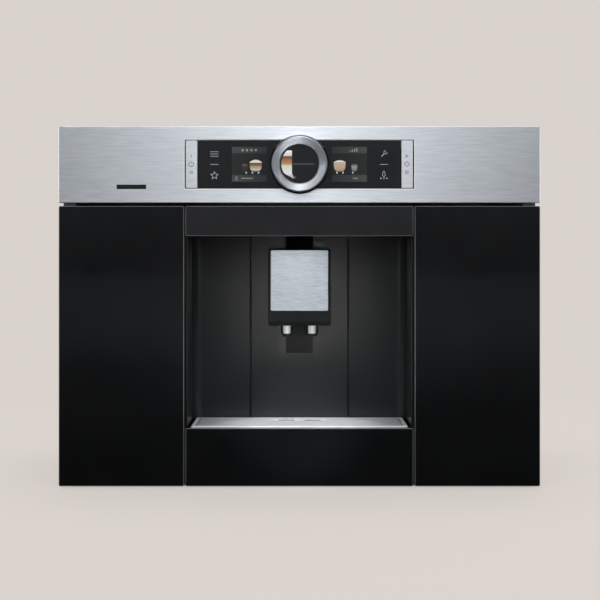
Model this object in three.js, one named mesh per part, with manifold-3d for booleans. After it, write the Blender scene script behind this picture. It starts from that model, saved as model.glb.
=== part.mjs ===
// A built-in coffee machine for a kitchen cabinet, in millimetres.
// X runs to the right seen from the front, Y into the cabinet and Z up. The origin is the middle of
// the base, on the surface that the machine stands on.

import * as THREE from 'three';
import { mergeVertices } from 'three/addons/utils/BufferGeometryUtils.js';
import Module from 'manifold-3d';

const wasm = await Module();
wasm.setup();

// ---------------------------------------------------------------- driving dimensions

const FRONT_WIDTH = 594;      // the front covers a 600 mm wide cabinet
const FRONT_HEIGHT = 444;
const DEPTH = 385;            // from the dial's face to the rear panel
const DIAL_PROUD = 10;        // how far the dial stands out of the front
const FOOT_GAP = 2;           // the front's lower edge stays clear of the cabinet floor
const CARCASS_WIDTH = 558;
const CARCASS_TOP = 438;
const SHEET = 1.2;            // sheet steel of the carcass
const GAP = 0.3;              // clearance between pieces that touch
const REVEAL = 1.7;           // visible gap between neighbouring front panels

const FASCIA_HEIGHT = 94.4;
const FASCIA_SHEET = 1.5;
const FASCIA_FOLD = 0.6;      // chamfer that stands for the fold's small radius
const FASCIA_REVEAL = 3.9;    // shadow gap under the fascia
const GLASS = 4;              // thickness of the front glass panels
const GLASS_BEVEL = 0.8;      // ground edge of those panels
const GLASS_CORNER = 2;

const NICHE_OPENING = 281.2;  // width of the header glass and the drawer front
const HEADER_HEIGHT = 37;
const DRAWER_HEIGHT = 71.6;
const NICHE_HALF = 138;       // inner half width of the niche
const NICHE_BACK = 112;       // from the front plane to the niche's back wall
const NICHE_WALL = 2;
const NICHE_CORNER = 12;

const WINDOW_HALF = 141.6;    // the fascia's display window
const WINDOW_HEIGHT = 60.2;
const WINDOW_CHAMFER = 0.9;   // ground edge of the window, widening towards the face
const DIAL_RADIUS = 34.3;
const DIAL_BORE = 23.9;
const DIAL_CLEAR = 36.4;      // radius of the fascia's hole round the dial
const DIAL_SIDES = 64;        // straight steps of the dial's circles
const KEY_WIDTH = 14.3;
const KEY_HEIGHT = 58.5;

const COLUMN_HALF = 62.7;     // the niche's centre column
const SLOT_HALF = 17.5;
const SLOT_FLOOR = 160;       // height of the slot's lower end
const OUTLET_WIDTH = 79;
const OUTLET_TOP = 294.4;
const OUTLET_BOTTOM = 197.9;
const OUTLET_INSET = 45;      // from the front plane to the outlet's face
const NOZZLE_SPACING = 32.4;
const NOZZLE_INSET = 77.5;
const NOZZLE_TIP = 183.9;

// ---------------------------------------------------------------- derived positions

const FRONT_Y = -DEPTH / 2 + DIAL_PROUD;
const BACK_Y = DEPTH / 2;
const FRONT_HALF = FRONT_WIDTH / 2;
const FRONT_TOP = FOOT_GAP + FRONT_HEIGHT;
const FASCIA_BOTTOM = FRONT_TOP - FASCIA_HEIGHT;
const PANEL_TOP = FASCIA_BOTTOM - FASCIA_REVEAL;
const GLASS_BACK = FRONT_Y + GLASS;
const CARCASS_HALF = CARCASS_WIDTH / 2;
const CARCASS_FRONT = FRONT_Y + 17;
const INSIDE_HALF = CARCASS_HALF - SHEET - GAP;
const WINDOW_Z = 399.2;
const NICHE_HALF_OPENING = NICHE_OPENING / 2;
const HEADER_BOTTOM = PANEL_TOP - HEADER_HEIGHT;
const DRAWER_TOP = FOOT_GAP + DRAWER_HEIGHT;
const NICHE_BACK_Y = FRONT_Y + NICHE_BACK;
const NICHE_FLOOR = DRAWER_TOP + 1.8;
const NICHE_CEILING = HEADER_BOTTOM + 2.6;
const CEILING_TOP = NICHE_CEILING + GAP + 1.8;
const COLUMN_Y = NICHE_BACK_Y - 3;
const OUTLET_Y = FRONT_Y + OUTLET_INSET;
const NOZZLE_Y = FRONT_Y + NOZZLE_INSET;
const DOOR_INNER = NICHE_HALF_OPENING + REVEAL;
const DOOR_BACK = CARCASS_FRONT - 2;
const HINGE_X = FRONT_HALF - 4;
const HINGE_Y = DOOR_BACK - 4;
const FRAME_BACK = CARCASS_FRONT + 14;

// ---------------------------------------------------------------- materials

function finish(color, roughness, metalness) {
  return new THREE.MeshStandardMaterial({ color, roughness, metalness });
}

const brushedSteel = finish(0xc4cad0, 0.32, 1);
const spunSteel = finish(0xcdd2d7, 0.25, 1);
const chrome = finish(0xe2e4e8, 0.08, 1);
const blackGlass = finish(0x17191a, 0.06, 0);
const displayGlass = finish(0x0c0e10, 0.08, 0);
const nichePlastic = finish(0x2a2c2c, 0.5, 0);
const blackPlastic = finish(0x141617, 0.45, 0);
const zincSteel = finish(0x9aa0a3, 0.4, 1);
const greyPlastic = finish(0x55595c, 0.6, 0);
const clearPlastic = finish(0x8fa0a8, 0.15, 0);
const castAluminium = finish(0xa9adb0, 0.5, 1);
const circuitBoard = finish(0x1e5a38, 0.55, 0);
const siliconeHose = finish(0xcfcac0, 0.55, 0);

// ---------------------------------------------------------------- solids

// A closed three.js geometry as a solid that can be cut and joined.
function solid(geometry) {
  const bare = geometry.clone();
  bare.deleteAttribute('normal');
  bare.deleteAttribute('uv');
  const merged = mergeVertices(bare, 1e-4);
  const mesh = new wasm.Mesh({
    numProp: 3,
    vertProperties: new Float32Array(merged.attributes.position.array),
    triVerts: new Uint32Array(merged.index.array),
  });
  return new wasm.Manifold(mesh);
}

function toGeometry(manifold) {
  const mesh = manifold.getMesh();
  const geometry = new THREE.BufferGeometry();
  geometry.setAttribute('position', new THREE.BufferAttribute(mesh.vertProperties, 3));
  geometry.setIndex(new THREE.BufferAttribute(mesh.triVerts, 1));
  geometry.computeVertexNormals();
  return geometry;
}

// A rectangle between two corners, with round corners where a radius is given.
function rectangle(x0, y0, x1, y1, radius = 0) {
  const [left, right] = [Math.min(x0, x1), Math.max(x0, x1)];
  const [low, high] = [Math.min(y0, y1), Math.max(y0, y1)];
  const shape = new THREE.Shape();
  if (radius === 0) {
    shape.moveTo(left, low).lineTo(right, low).lineTo(right, high).lineTo(left, high);
    return shape;
  }
  const quarter = Math.PI / 2;
  shape.absarc(right - radius, low + radius, radius, -quarter, 0);
  shape.absarc(right - radius, high - radius, radius, 0, quarter);
  shape.absarc(left + radius, high - radius, radius, quarter, 2 * quarter);
  shape.absarc(left + radius, low + radius, radius, 2 * quarter, 3 * quarter);
  return shape;
}

function polygon(points) {
  return new THREE.Shape(points.map(([x, y]) => new THREE.Vector2(x, y)));
}

function disc(x, y, radius) {
  const shape = new THREE.Shape();
  shape.absarc(x, y, radius, 0, 2 * Math.PI);
  return shape;
}

// Extrusions of an outline: upright() takes an (x, y) outline up from z0 to z1, inward() an (x, z)
// outline from y0 to y1 into the cabinet, and across() a (y, z) outline from x0 to x1. Each arc of
// the outline becomes arcSteps straight steps: ExtrudeGeometry doubles curveSegments on an arc.
function extrusion(shape, length, arcSteps, bevel) {
  const bevelled = bevel > 0;
  const geometry = new THREE.ExtrudeGeometry(shape, {
    depth: length - 2 * bevel,
    curveSegments: arcSteps / 2,
    bevelEnabled: bevelled,
    bevelSize: bevel,
    bevelThickness: bevel,
    bevelOffset: -bevel,
    bevelSegments: 1,
  });
  return geometry.translate(0, 0, bevel);
}

function upright(shape, z0, z1, arcSteps = 4, bevel = 0) {
  return solid(extrusion(shape, z1 - z0, arcSteps, bevel).translate(0, 0, z0));
}

function inward(shape, y0, y1, arcSteps = 4, bevel = 0) {
  return solid(extrusion(shape, y1 - y0, arcSteps, bevel).rotateX(Math.PI / 2).translate(0, y1, 0));
}

function across(shape, x0, x1, arcSteps = 4, bevel = 0) {
  const [start, end] = [Math.min(x0, x1), Math.max(x0, x1)];
  const yzToX = new THREE.Matrix4().makeBasis(
    new THREE.Vector3(0, 1, 0),
    new THREE.Vector3(0, 0, 1),
    new THREE.Vector3(1, 0, 0),
  );
  return solid(extrusion(shape, end - start, arcSteps, bevel).applyMatrix4(yzToX).translate(start, 0, 0));
}

function block(x0, x1, y0, y1, z0, z1) {
  const size = [Math.abs(x1 - x0), Math.abs(y1 - y0), Math.abs(z1 - z0)];
  const geometry = new THREE.BoxGeometry(...size);
  return solid(geometry.translate((x0 + x1) / 2, (y0 + y1) / 2, (z0 + z1) / 2));
}

// A turned piece: points are [radius, height] pairs that close on themselves or start and end on
// the axis. It stands along Z at (x, y), or along Y with its face to the front at (x, z).
function turned(points, segments) {
  const profile = points.map(([radius, height]) => new THREE.Vector2(radius, height));
  return new THREE.LatheGeometry(profile, segments).rotateX(Math.PI / 2);
}

function turnedUpright(points, x, y, segments = 24) {
  return solid(turned(points, segments).translate(x, y, 0));
}

function turnedInward(points, x, z, segments = 40) {
  return solid(turned(points, segments).rotateX(Math.PI / 2).scale(1, -1, -1).translate(x, 0, z));
}

function rod(x, y, radius, z0, z1, sides = 16) {
  return upright(disc(x, y, radius), z0, z1, sides);
}

function rodInward(x, z, radius, y0, y1, sides = 16) {
  return inward(disc(x, z, radius), y0, y1, sides);
}

function union(pieces) {
  return pieces.reduce((whole, piece) => whole.add(piece));
}

function cut(whole, pieces) {
  return pieces.reduce((rest, piece) => rest.subtract(piece), whole);
}

const spread = (count, pitch) => Array.from({ length: count }, (_, i) => (i - (count - 1) / 2) * pitch);

// ---------------------------------------------------------------- the scene graph

const machine = new THREE.Group();
const names = ['carcass', 'controls', 'niche', 'supplies', 'left door', 'right door', 'outlet', 'drawer'];
const groups = Object.fromEntries(names.map((name) => [name, new THREE.Group()]));
machine.add(...Object.values(groups));

function place(group, name, piece, material) {
  const mesh = new THREE.Mesh(toGeometry(piece), material);
  mesh.name = name;
  groups[group].add(mesh);
}

// ---------------------------------------------------------------- carcass

const SLOT_WIDTH = 4;
const SLOT_ROUND = 1.5;
const PAN_SHEET = 1.5;
const PAN_EDGE = 14;
const PAN_VENTS = { count: 6, pitch: 20, length: 70, x: 210, y: 120 };
const SIDE_VENTS = { count: 7, pitch: 14, y: 110, low: 370, high: 420 };
const TOP_VENTS = { count: 12, pitch: 20, length: 60, y: 110 };
const REAR_VENTS = { columns: [-150, -50, 50, 150], rows: [300, 314, 328, 342], length: 70 };
const FLANGE_SCREWS = { x: 286.5, rows: [40, 218, 330], radius: 2.4 };
const INLET = { x: -232, z: 44, halfWidth: 14, halfHeight: 11 };
const REAR_INSIDE = BACK_Y - SHEET - 2 * GAP;

// Ventilation slots in a sheet that stands across the machine: one rounded slot for each place.
function slotsInward(places, length, y0, y1) {
  const half = length / 2;
  return places.map(([x, z]) => inward(
    rectangle(x - half, z - SLOT_WIDTH / 2, x + half, z + SLOT_WIDTH / 2, SLOT_ROUND),
    y0 - 1,
    y1 + 1,
    1,
  ));
}

function slotsUpright(places, length, z0, z1) {
  const half = length / 2;
  return places.map(([x, y]) => upright(
    rectangle(x - SLOT_WIDTH / 2, y - half, x + SLOT_WIDTH / 2, y + half, SLOT_ROUND),
    z0 - 1,
    z1 + 1,
    1,
  ));
}

// The base pan has upturned edges, an open front where the drawer runs, and slots under the rear.
function basePan() {
  const front = CARCASS_FRONT + 2;
  const wallFront = FRAME_BACK + GAP;
  const inside = INSIDE_HALF - PAN_SHEET;
  const above = PAN_EDGE + 1;
  const floor = block(-INSIDE_HALF, INSIDE_HALF, front, REAR_INSIDE, 0, PAN_SHEET);
  const walls = block(-INSIDE_HALF, INSIDE_HALF, wallFront, REAR_INSIDE, 0, PAN_EDGE);
  const hollow = block(-inside, inside, wallFront + PAN_SHEET, REAR_INSIDE - PAN_SHEET, PAN_SHEET, above);
  const opening = NICHE_HALF_OPENING;
  const drawerPassage = block(-opening, opening, wallFront - 1, 0, PAN_SHEET, above);
  const places = spread(PAN_VENTS.count, PAN_VENTS.pitch).flatMap((x) => [
    [x - PAN_VENTS.x, PAN_VENTS.y],
    [x + PAN_VENTS.x, PAN_VENTS.y],
  ]);
  const vents = slotsUpright(places, PAN_VENTS.length, 0, PAN_SHEET);
  return cut(floor.add(walls), [hollow, drawerPassage, ...vents]);
}

// A side panel is folded outwards at the front: this flange meets the cabinet's front edge.
function sidePanel(side) {
  const outer = side * CARCASS_HALF;
  const inner = outer - side * SHEET;
  const flange = side * (FRONT_HALF - 3.5);
  const back = BACK_Y - SHEET - GAP;
  const foldBack = CARCASS_FRONT + 1.5;
  const profile = polygon([
    [inner, CARCASS_FRONT],
    [flange, CARCASS_FRONT],
    [flange, foldBack],
    [outer, foldBack],
    [outer, back],
    [inner, back],
  ]);
  const { x, rows, radius } = FLANGE_SCREWS;
  const screwHoles = rows.map((z) => rodInward(side * x, z, radius, CARCASS_FRONT - 1, foldBack + 1, 8));
  const vents = spread(SIDE_VENTS.count, SIDE_VENTS.pitch).map((step) => {
    const front = SIDE_VENTS.y + step - SLOT_WIDTH / 2;
    const slot = rectangle(front, SIDE_VENTS.low, front + SLOT_WIDTH, SIDE_VENTS.high, SLOT_ROUND);
    return across(slot, inner - side, outer + side, 1);
  });
  return cut(upright(profile, GAP, CARCASS_TOP - 2), [...screwHoles, ...vents]);
}

// The outline of the mains inlet, grown outwards by a margin.
function inletOutline(grow, radius) {
  const halfWidth = INLET.halfWidth + grow;
  const halfHeight = INLET.halfHeight + grow;
  const { x, z } = INLET;
  return rectangle(x - halfWidth, z - halfHeight, x + halfWidth, z + halfHeight, radius);
}

// The rear panel carries the warm air slots and the cut-out of the mains inlet.
function rearPanel() {
  const front = BACK_Y - SHEET;
  const half = CARCASS_HALF - 0.4;
  const sheet = inward(rectangle(-half, 0.6, half, CARCASS_TOP - 0.4, 2), front, BACK_Y, 2);
  const places = REAR_VENTS.rows.flatMap((z) => REAR_VENTS.columns.map((x) => [x, z]));
  const vents = slotsInward(places, REAR_VENTS.length, front, BACK_Y);
  return cut(sheet, [inward(inletOutline(1, 2), front - 1, BACK_Y + 1, 2), ...vents]);
}

function topPanel() {
  const front = CARCASS_FRONT + 1;
  const low = CARCASS_TOP - PAN_SHEET;
  const sheet = upright(rectangle(-INSIDE_HALF, front, INSIDE_HALF, REAR_INSIDE), low, CARCASS_TOP);
  const fold = block(-INSIDE_HALF, INSIDE_HALF, front, front + SHEET, CARCASS_TOP - 16, CARCASS_TOP);
  const places = spread(TOP_VENTS.count, TOP_VENTS.pitch).map((x) => [x, TOP_VENTS.y]);
  return cut(sheet.add(fold), slotsUpright(places, TOP_VENTS.length, low, CARCASS_TOP));
}

const BAY_INNER = 150;
const BAY_OUTER = 268;
const BAY_LOW = 10;
const BAY_HIGH = 340;

// The moulded front frame stands behind the doors. It has an opening with a raised sealing lip for
// each bay, an opening for the niche and the drawer, and a deep beam that holds the header glass.
function frontFrame() {
  const low = 2;
  const high = PANEL_TOP - 1;
  const bay = (side, grow = 0) => rectangle(
    side * (BAY_INNER - grow),
    BAY_LOW - grow,
    side * (BAY_OUTER + grow),
    BAY_HIGH + grow,
    6 + grow,
  );
  const front = CARCASS_FRONT + GAP + 1.2;
  const lipFront = DOOR_BACK + 0.6;
  const outline = rectangle(-INSIDE_HALF + 1, low, INSIDE_HALF - 1, high, 3);
  const lips = [-1, 1].map((side) => inward(bay(side, 3), lipFront, front + 1, 3));
  const beamHalf = NICHE_HALF - 1;
  const beamLow = CEILING_TOP + GAP + 1;
  const beam = rectangle(-beamHalf, beamLow, beamHalf, high - 3, 3);
  const headerBeam = inward(beam, GLASS_BACK + GAP, front + 1, 2);
  const body = union([inward(outline, front, FRAME_BACK, 2), ...lips, headerBeam]);
  const bays = [-1, 1].map((side) => inward(bay(side), lipFront - 1, FRAME_BACK + 1, 3));
  const opening = NICHE_HALF_OPENING;
  const niche = block(-opening, opening, front - 20, FRAME_BACK + 1, -1, CEILING_TOP + GAP);
  const wall = 4;
  const hollow = block(
    -beamHalf + wall,
    beamHalf - wall,
    front - 5,
    FRAME_BACK + 1,
    beamLow + wall,
    high - 3 - wall,
  );
  return cut(body, [...bays, niche, hollow]);
}

const PARTITION_X = 144;
const PASSAGE = { front: 100, back: 148, low: 22, high: 58, radius: 8 };

// A partition stands between the niche's machinery and a bay, with a rounded passage for the hose.
function bayPartition(side) {
  const outline = rectangle(PASSAGE.front, PASSAGE.low, PASSAGE.back, PASSAGE.high, PASSAGE.radius);
  const passage = across(outline, side * (PARTITION_X - 2), side * (PARTITION_X + 3), 2);
  const front = FRAME_BACK + PAN_SHEET + 2 * GAP;
  const back = REAR_INSIDE - PAN_SHEET - GAP;
  const wall = block(side * PARTITION_X, side * (PARTITION_X + SHEET), front, back, 2, 344);
  return cut(wall, [passage]);
}

const SHELF_Z = 188;
const SHELF_INNER = 146;
const GRINDER = { x: -209, y: 96, radius: 38, low: 40, high: SHELF_Z - GAP };

// The shelf under the bean hopper is folded down at its front and has a hole over the grinder.
function hopperShelf() {
  const front = FRAME_BACK + GAP;
  const outer = INSIDE_HALF - 1;
  const top = SHELF_Z + SHEET;
  const sheet = block(-outer, -SHELF_INNER, front, 140, SHELF_Z, top);
  const fold = block(-outer, -SHELF_INNER, front, front + SHEET, SHELF_Z - 10, top);
  const hole = rod(GRINDER.x, GRINDER.y, 24, SHELF_Z - 1, SHELF_Z + 3, 8);
  return cut(sheet.add(fold), [hole]);
}

const BRACKET = { arm: 3, eye: 3.8, width: 12, leg: 24, pin: 2, pinLength: 11 };

// A hinge bracket: a plate on the flange, an arm forward over the liner's corner and its pin. The
// lower bracket is drawn, and the upper one is its mirror image over the door's middle height.
function hingeBracket(side, upper) {
  const low = FOOT_GAP + 3.5;
  const high = low + BRACKET.arm;
  const legBack = CARCASS_FRONT - GAP;
  const inner = side * (HINGE_X - BRACKET.width);
  const outer = side * (HINGE_X + 0.4);
  const eye = rod(side * HINGE_X, HINGE_Y, BRACKET.eye, low, high, 12);
  const arm = block(side * (HINGE_X - BRACKET.eye), outer, HINGE_Y, legBack, low, high);
  const leg = block(inner, outer, legBack - SHEET, legBack, low, high + BRACKET.leg);
  const pin = rod(side * HINGE_X, HINGE_Y, BRACKET.pin, high - 1, high + BRACKET.pinLength, 12);
  const lower = union([eye, arm, leg, pin]);
  return upper ? lower.mirror([0, 0, 1]).translate([0, 0, PANEL_TOP + FOOT_GAP]) : lower;
}

place('carcass', 'base_pan', basePan(), zincSteel);
place('carcass', 'side_panel_left', sidePanel(-1), zincSteel);
place('carcass', 'side_panel_right', sidePanel(1), zincSteel);
place('carcass', 'rear_panel', rearPanel(), zincSteel);
place('carcass', 'top_panel', topPanel(), zincSteel);
place('carcass', 'front_frame', frontFrame(), blackPlastic);
place('carcass', 'bay_partition_left', bayPartition(-1), zincSteel);
place('carcass', 'bay_partition_right', bayPartition(1), zincSteel);
place('carcass', 'hopper_shelf', hopperShelf(), zincSteel);
place('carcass', 'hinge_bracket_left_upper', hingeBracket(-1, true), zincSteel);
place('carcass', 'hinge_bracket_left_lower', hingeBracket(-1, false), zincSteel);
place('carcass', 'hinge_bracket_right_upper', hingeBracket(1, true), zincSteel);
place('carcass', 'hinge_bracket_right_lower', hingeBracket(1, false), zincSteel);

// ---------------------------------------------------------------- controls

const STATUS = { x: -207.3, z: 371.4, width: 36, height: 5 };
const HOUSING_FRONT = FRONT_Y + 10.5;

// The display window with the round clearance of the dial. Its straight edges are ground, so the
// window widens over the last bit towards the face.
function windowCut() {
  const front = FRONT_Y - 3;
  const back = FRONT_Y + 3;
  const outline = (grow) => {
    const halfWidth = WINDOW_HALF + grow;
    const halfHeight = WINDOW_HEIGHT / 2 + grow;
    return rectangle(-halfWidth, WINDOW_Z - halfHeight, halfWidth, WINDOW_Z + halfHeight, 1.2 + grow);
  };
  const slot = inward(outline(0), front, back, 3);
  const chamfer = inward(outline(WINDOW_CHAMFER), front, FRONT_Y + WINDOW_CHAMFER, 3, WINDOW_CHAMFER);
  return union([slot, chamfer, rodInward(0, WINDOW_Z, DIAL_CLEAR, front, back, DIAL_SIDES)]);
}

// The outline of the small status lens, grown outwards by a margin.
function statusOutline(grow, radius) {
  const halfWidth = STATUS.width / 2 + grow;
  const halfHeight = STATUS.height / 2 + grow;
  const { x, z } = STATUS;
  return rectangle(x - halfWidth, z - halfHeight, x + halfWidth, z + halfHeight, radius);
}

// The fascia is one sheet folded back at all four edges, with the window and the small lens cut out.
function controlFascia() {
  const back = CARCASS_FRONT - 1;
  const face = rectangle(-FRONT_HALF, FASCIA_BOTTOM, FRONT_HALF, FRONT_TOP, 1);
  const inner = block(
    -FRONT_HALF + FASCIA_SHEET,
    FRONT_HALF - FASCIA_SHEET,
    FRONT_Y + FASCIA_SHEET,
    back + 1,
    FASCIA_BOTTOM + FASCIA_SHEET,
    FRONT_TOP - FASCIA_SHEET,
  );
  const lens = inward(statusOutline(GAP, 0), FRONT_Y - 1, FRONT_Y + 3);
  return cut(inward(face, FRONT_Y, back, 2, FASCIA_FOLD), [inner, windowCut(), lens]);
}

function statusWindow() {
  return inward(statusOutline(0, 0.8), FRONT_Y + 0.2, FRONT_Y + 2.4, 2);
}

// The housing closes the fascia from behind: a wall across it, with a rim that runs backwards.
function controlHousing() {
  const half = INSIDE_HALF - 2;
  const low = FASCIA_BOTTOM + 3;
  const high = CARCASS_TOP - 18;
  const back = FRONT_Y + 32;
  const wall = 2;
  const body = inward(rectangle(-half, low, half, high, 4), HOUSING_FRONT, back, 2);
  const hollow = block(-half + wall, half - wall, HOUSING_FRONT + wall, back + 1, low + wall, high - wall);
  return cut(body, [hollow]);
}

// The board carries a processor, two key switches' sockets and a row of connectors on its back.
function controlBoard() {
  const front = HOUSING_FRONT + 6;
  const back = front + 1.6;
  const root = back - 0.5;
  const chip = { half: 9, low: 380, high: 398, height: 2.5 };
  const socket = { half: 11, low: 404, high: 412, height: 8 };
  const board = block(-135, 135, front, back, 364, 416);
  const component = ({ half, low, high, height }) => (x) => (
    block(x - half, x + half, root, back + height, low, high)
  );
  const chips = spread(4, 60).map(component(chip));
  const sockets = spread(5, 40).map(component(socket));
  return union([board, ...chips, ...sockets]);
}

const KEY_MARGIN = 1.5;       // from the window's edge to the bar key
const DISPLAY_MARGIN = 0.9;   // round each display glass

// A display glass reaches from its bar key to the dial and is cut concave round the dial.
function displayGlassPanel(side) {
  const half = WINDOW_HEIGHT / 2 - DISPLAY_MARGIN;
  const outer = WINDOW_HALF - KEY_MARGIN - KEY_WIDTH - DISPLAY_MARGIN;
  const outline = rectangle(side * 12, WINDOW_Z - half, side * outer, WINDOW_Z + half, 0.8);
  const panel = inward(outline, FRONT_Y + 0.2, FRONT_Y + 2.7, 2);
  return cut(panel, [rodInward(0, WINDOW_Z, DIAL_CLEAR + GAP, FRONT_Y - 1, FRONT_Y + 4, DIAL_SIDES)]);
}

const DISPLAY_NEAR = 39.6;
const DISPLAY_FAR = 83.4;

function displayModule(side) {
  const half = 22;
  const frame = rectangle(side * DISPLAY_NEAR, WINDOW_Z - half, side * DISPLAY_FAR, WINDOW_Z + half, 1);
  return inward(frame, FRONT_Y + 3, HOUSING_FRONT - GAP, 2);
}

// A bar key: a rounded steel bar with two guide stems behind it.
function barKey(side) {
  const centre = side * (WINDOW_HALF - KEY_MARGIN - KEY_WIDTH / 2);
  const outline = rectangle(
    centre - KEY_WIDTH / 2,
    WINDOW_Z - KEY_HEIGHT / 2,
    centre + KEY_WIDTH / 2,
    WINDOW_Z + KEY_HEIGHT / 2,
    1,
  );
  const face = inward(outline, FRONT_Y, FRONT_Y + 4, 2, 0.4);
  const stemBack = HOUSING_FRONT - 1.6;
  const stems = [-18, 18].map((z) => rodInward(centre, WINDOW_Z + z, 3, FRONT_Y + 3, stemBack, 8));
  return union([face, ...stems]);
}

// The dial ring, in [radius, depth behind the dial's face] pairs: a slightly conical spun face with
// a chamfer inside and a round edge outside, a skirt, and a hub that runs on the bearing.
function dialRing() {
  const face = FRONT_Y - DIAL_PROUD;
  const skirt = FRONT_Y + 0.8;
  return turnedInward([
    [DIAL_BORE, face + 1.9],
    [DIAL_BORE + 0.8, face + 0.8],
    [DIAL_RADIUS - 1.4, face],
    [DIAL_RADIUS - 0.4, face + 0.3],
    [DIAL_RADIUS, face + 1.2],
    [DIAL_RADIUS, skirt],
    [DIAL_RADIUS - 2, skirt],
    [DIAL_RADIUS - 2, face + 4],
    [DIAL_BORE + 2.6, face + 4],
    [DIAL_BORE + 2.6, skirt],
    [DIAL_BORE, skirt],
    [DIAL_BORE, face + 1.9],
  ], 0, WINDOW_Z, DIAL_SIDES);
}

// The fixed bearing tube inside the ring, with its flange on the control housing.
function dialBearing() {
  const outer = DIAL_BORE - 0.4;
  const face = FRONT_Y - DIAL_PROUD + 3.2;
  const flange = HOUSING_FRONT - 2.4;
  return turnedInward([
    [19.5, face],
    [outer, face],
    [outer, flange],
    [31, flange],
    [31, HOUSING_FRONT - GAP],
    [19.5, HOUSING_FRONT - GAP],
    [19.5, face],
  ], 0, WINDOW_Z, 36);
}

function dialCentreDisplay() {
  const face = FRONT_Y - DIAL_PROUD + 1.4;
  const rim = DIAL_BORE - 0.4;
  return turnedInward([
    [0, face],
    [rim - 0.5, face],
    [rim, face + 0.4],
    [rim, face + 1.5],
    [0, face + 1.5],
  ], 0, WINDOW_Z, DIAL_SIDES);
}

place('controls', 'control_fascia', controlFascia(), brushedSteel);
place('controls', 'status_window', statusWindow(), displayGlass);
place('controls', 'control_housing', controlHousing(), blackPlastic);
place('controls', 'control_board', controlBoard(), circuitBoard);
place('controls', 'display_glass_left', displayGlassPanel(-1), displayGlass);
place('controls', 'display_glass_right', displayGlassPanel(1), displayGlass);
place('controls', 'display_module_left', displayModule(-1), greyPlastic);
place('controls', 'display_module_right', displayModule(1), greyPlastic);
place('controls', 'on_off_bar', barKey(-1), brushedSteel);
place('controls', 'start_stop_bar', barKey(1), brushedSteel);
place('controls', 'dial_bearing', dialBearing(), blackPlastic);
place('controls', 'dial_ring', dialRing(), spunSteel);
place('controls', 'dial_centre_display', dialCentreDisplay(), displayGlass);

// ---------------------------------------------------------------- front glass

// A front glass panel with round corners and ground edges.
function frontGlass(x0, x1, z0, z1) {
  return inward(rectangle(x0, z0, x1, z1, GLASS_CORNER), FRONT_Y, GLASS_BACK, 2, GLASS_BEVEL);
}

// The moulded liner behind a door glass: pockets between ribs on its back, and at the hinge side two
// notches for the brackets and a bore for each pin.
function doorLiner(side) {
  const inset = 2.5;
  const hingeEdge = HINGE_X + 1;
  const innerEdge = DOOR_INNER + inset;
  const low = FOOT_GAP + inset;
  const high = PANEL_TOP - inset - 0.2;
  const front = GLASS_BACK + GAP;
  const outline = rectangle(side * hingeEdge, low, side * innerEdge, high, 2);
  const body = inward(outline, front, DOOR_BACK, 2);
  const columns = 2;
  const rows = 4;
  const rib = 3;
  const border = 15;
  const width = (hingeEdge - innerEdge - 2 * border - (columns - 1) * rib) / columns;
  const height = (high - low - 2 * border - (rows - 1) * rib) / rows;
  const pockets = [];
  for (let column = 0; column < columns; column += 1) {
    for (let row = 0; row < rows; row += 1) {
      const x = side * (innerEdge + border + column * (width + rib));
      const z = low + border + row * (height + rib);
      const pocket = rectangle(x, z, x + side * width, z + height, 6);
      pockets.push(inward(pocket, front + 2.5, DOOR_BACK + 1, 1));
    }
  }
  const notchInner = side * (HINGE_X - BRACKET.width - 2);
  const notchOuter = side * (HINGE_X + 5);
  const notches = [[PANEL_TOP - 7, high + 1], [low - 1, FOOT_GAP + 7]].map(([z0, z1]) => (
    block(notchInner, notchOuter, front - 1, DOOR_BACK + 1, z0, z1)
  ));
  const bores = [[PANEL_TOP - 19, PANEL_TOP - 6], [FOOT_GAP + 6, FOOT_GAP + 19]].map(([z0, z1]) => (
    rod(side * HINGE_X, HINGE_Y, BRACKET.pin + 0.4, z0, z1, 12)
  ));
  return cut(body, [...pockets, ...notches, ...bores]);
}

for (const [side, word] of [[-1, 'left'], [1, 'right']]) {
  const glass = frontGlass(side * DOOR_INNER, side * FRONT_HALF, FOOT_GAP, PANEL_TOP);
  place(`${word} door`, `door_glass_${word}`, glass, blackGlass);
  place(`${word} door`, `door_liner_${word}`, doorLiner(side), blackPlastic);
}

// ---------------------------------------------------------------- niche

// A niche shell: one moulding for the side wall, the round rear corner and half of the back wall.
function nicheShell(side) {
  const outer = NICHE_HALF + NICHE_WALL;
  const back = NICHE_BACK_Y + NICHE_WALL;
  const seam = COLUMN_HALF + 0.5;
  const centreX = NICHE_HALF - NICHE_CORNER;
  const centreY = NICHE_BACK_Y - NICHE_CORNER;
  const shape = new THREE.Shape();
  shape.moveTo(NICHE_HALF, GLASS_BACK + GAP);
  shape.lineTo(outer, GLASS_BACK + GAP);
  shape.absarc(centreX, centreY, NICHE_CORNER + NICHE_WALL, 0, Math.PI / 2);
  shape.lineTo(seam, back);
  shape.lineTo(seam, NICHE_BACK_Y);
  shape.absarc(centreX, centreY, NICHE_CORNER, Math.PI / 2, 0, true);
  const right = extrusion(shape, NICHE_CEILING - NICHE_FLOOR, 6, 0).translate(0, 0, NICHE_FLOOR);
  const whole = solid(right);
  return side > 0 ? whole : whole.mirror([1, 0, 0]);
}

// The centre column is a channel that opens backwards, with the outlet's slot open at its top.
function nicheCentreColumn() {
  const plate = 2.4;
  const wall = 2;
  const front = COLUMN_Y;
  const back = NICHE_BACK_Y + 10;
  const inside = COLUMN_HALF - wall;
  const channel = upright(rectangle(-COLUMN_HALF, front, COLUMN_HALF, back), NICHE_FLOOR, NICHE_CEILING);
  const hollow = block(-inside, inside, front + plate, back + 1, NICHE_FLOOR - 1, NICHE_CEILING + 1);
  const outline = rectangle(-SLOT_HALF, SLOT_FLOOR, SLOT_HALF, NICHE_CEILING + 20, 2.5);
  return cut(channel, [hollow, inward(outline, front - 1, front + plate + 1, 3)]);
}

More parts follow.
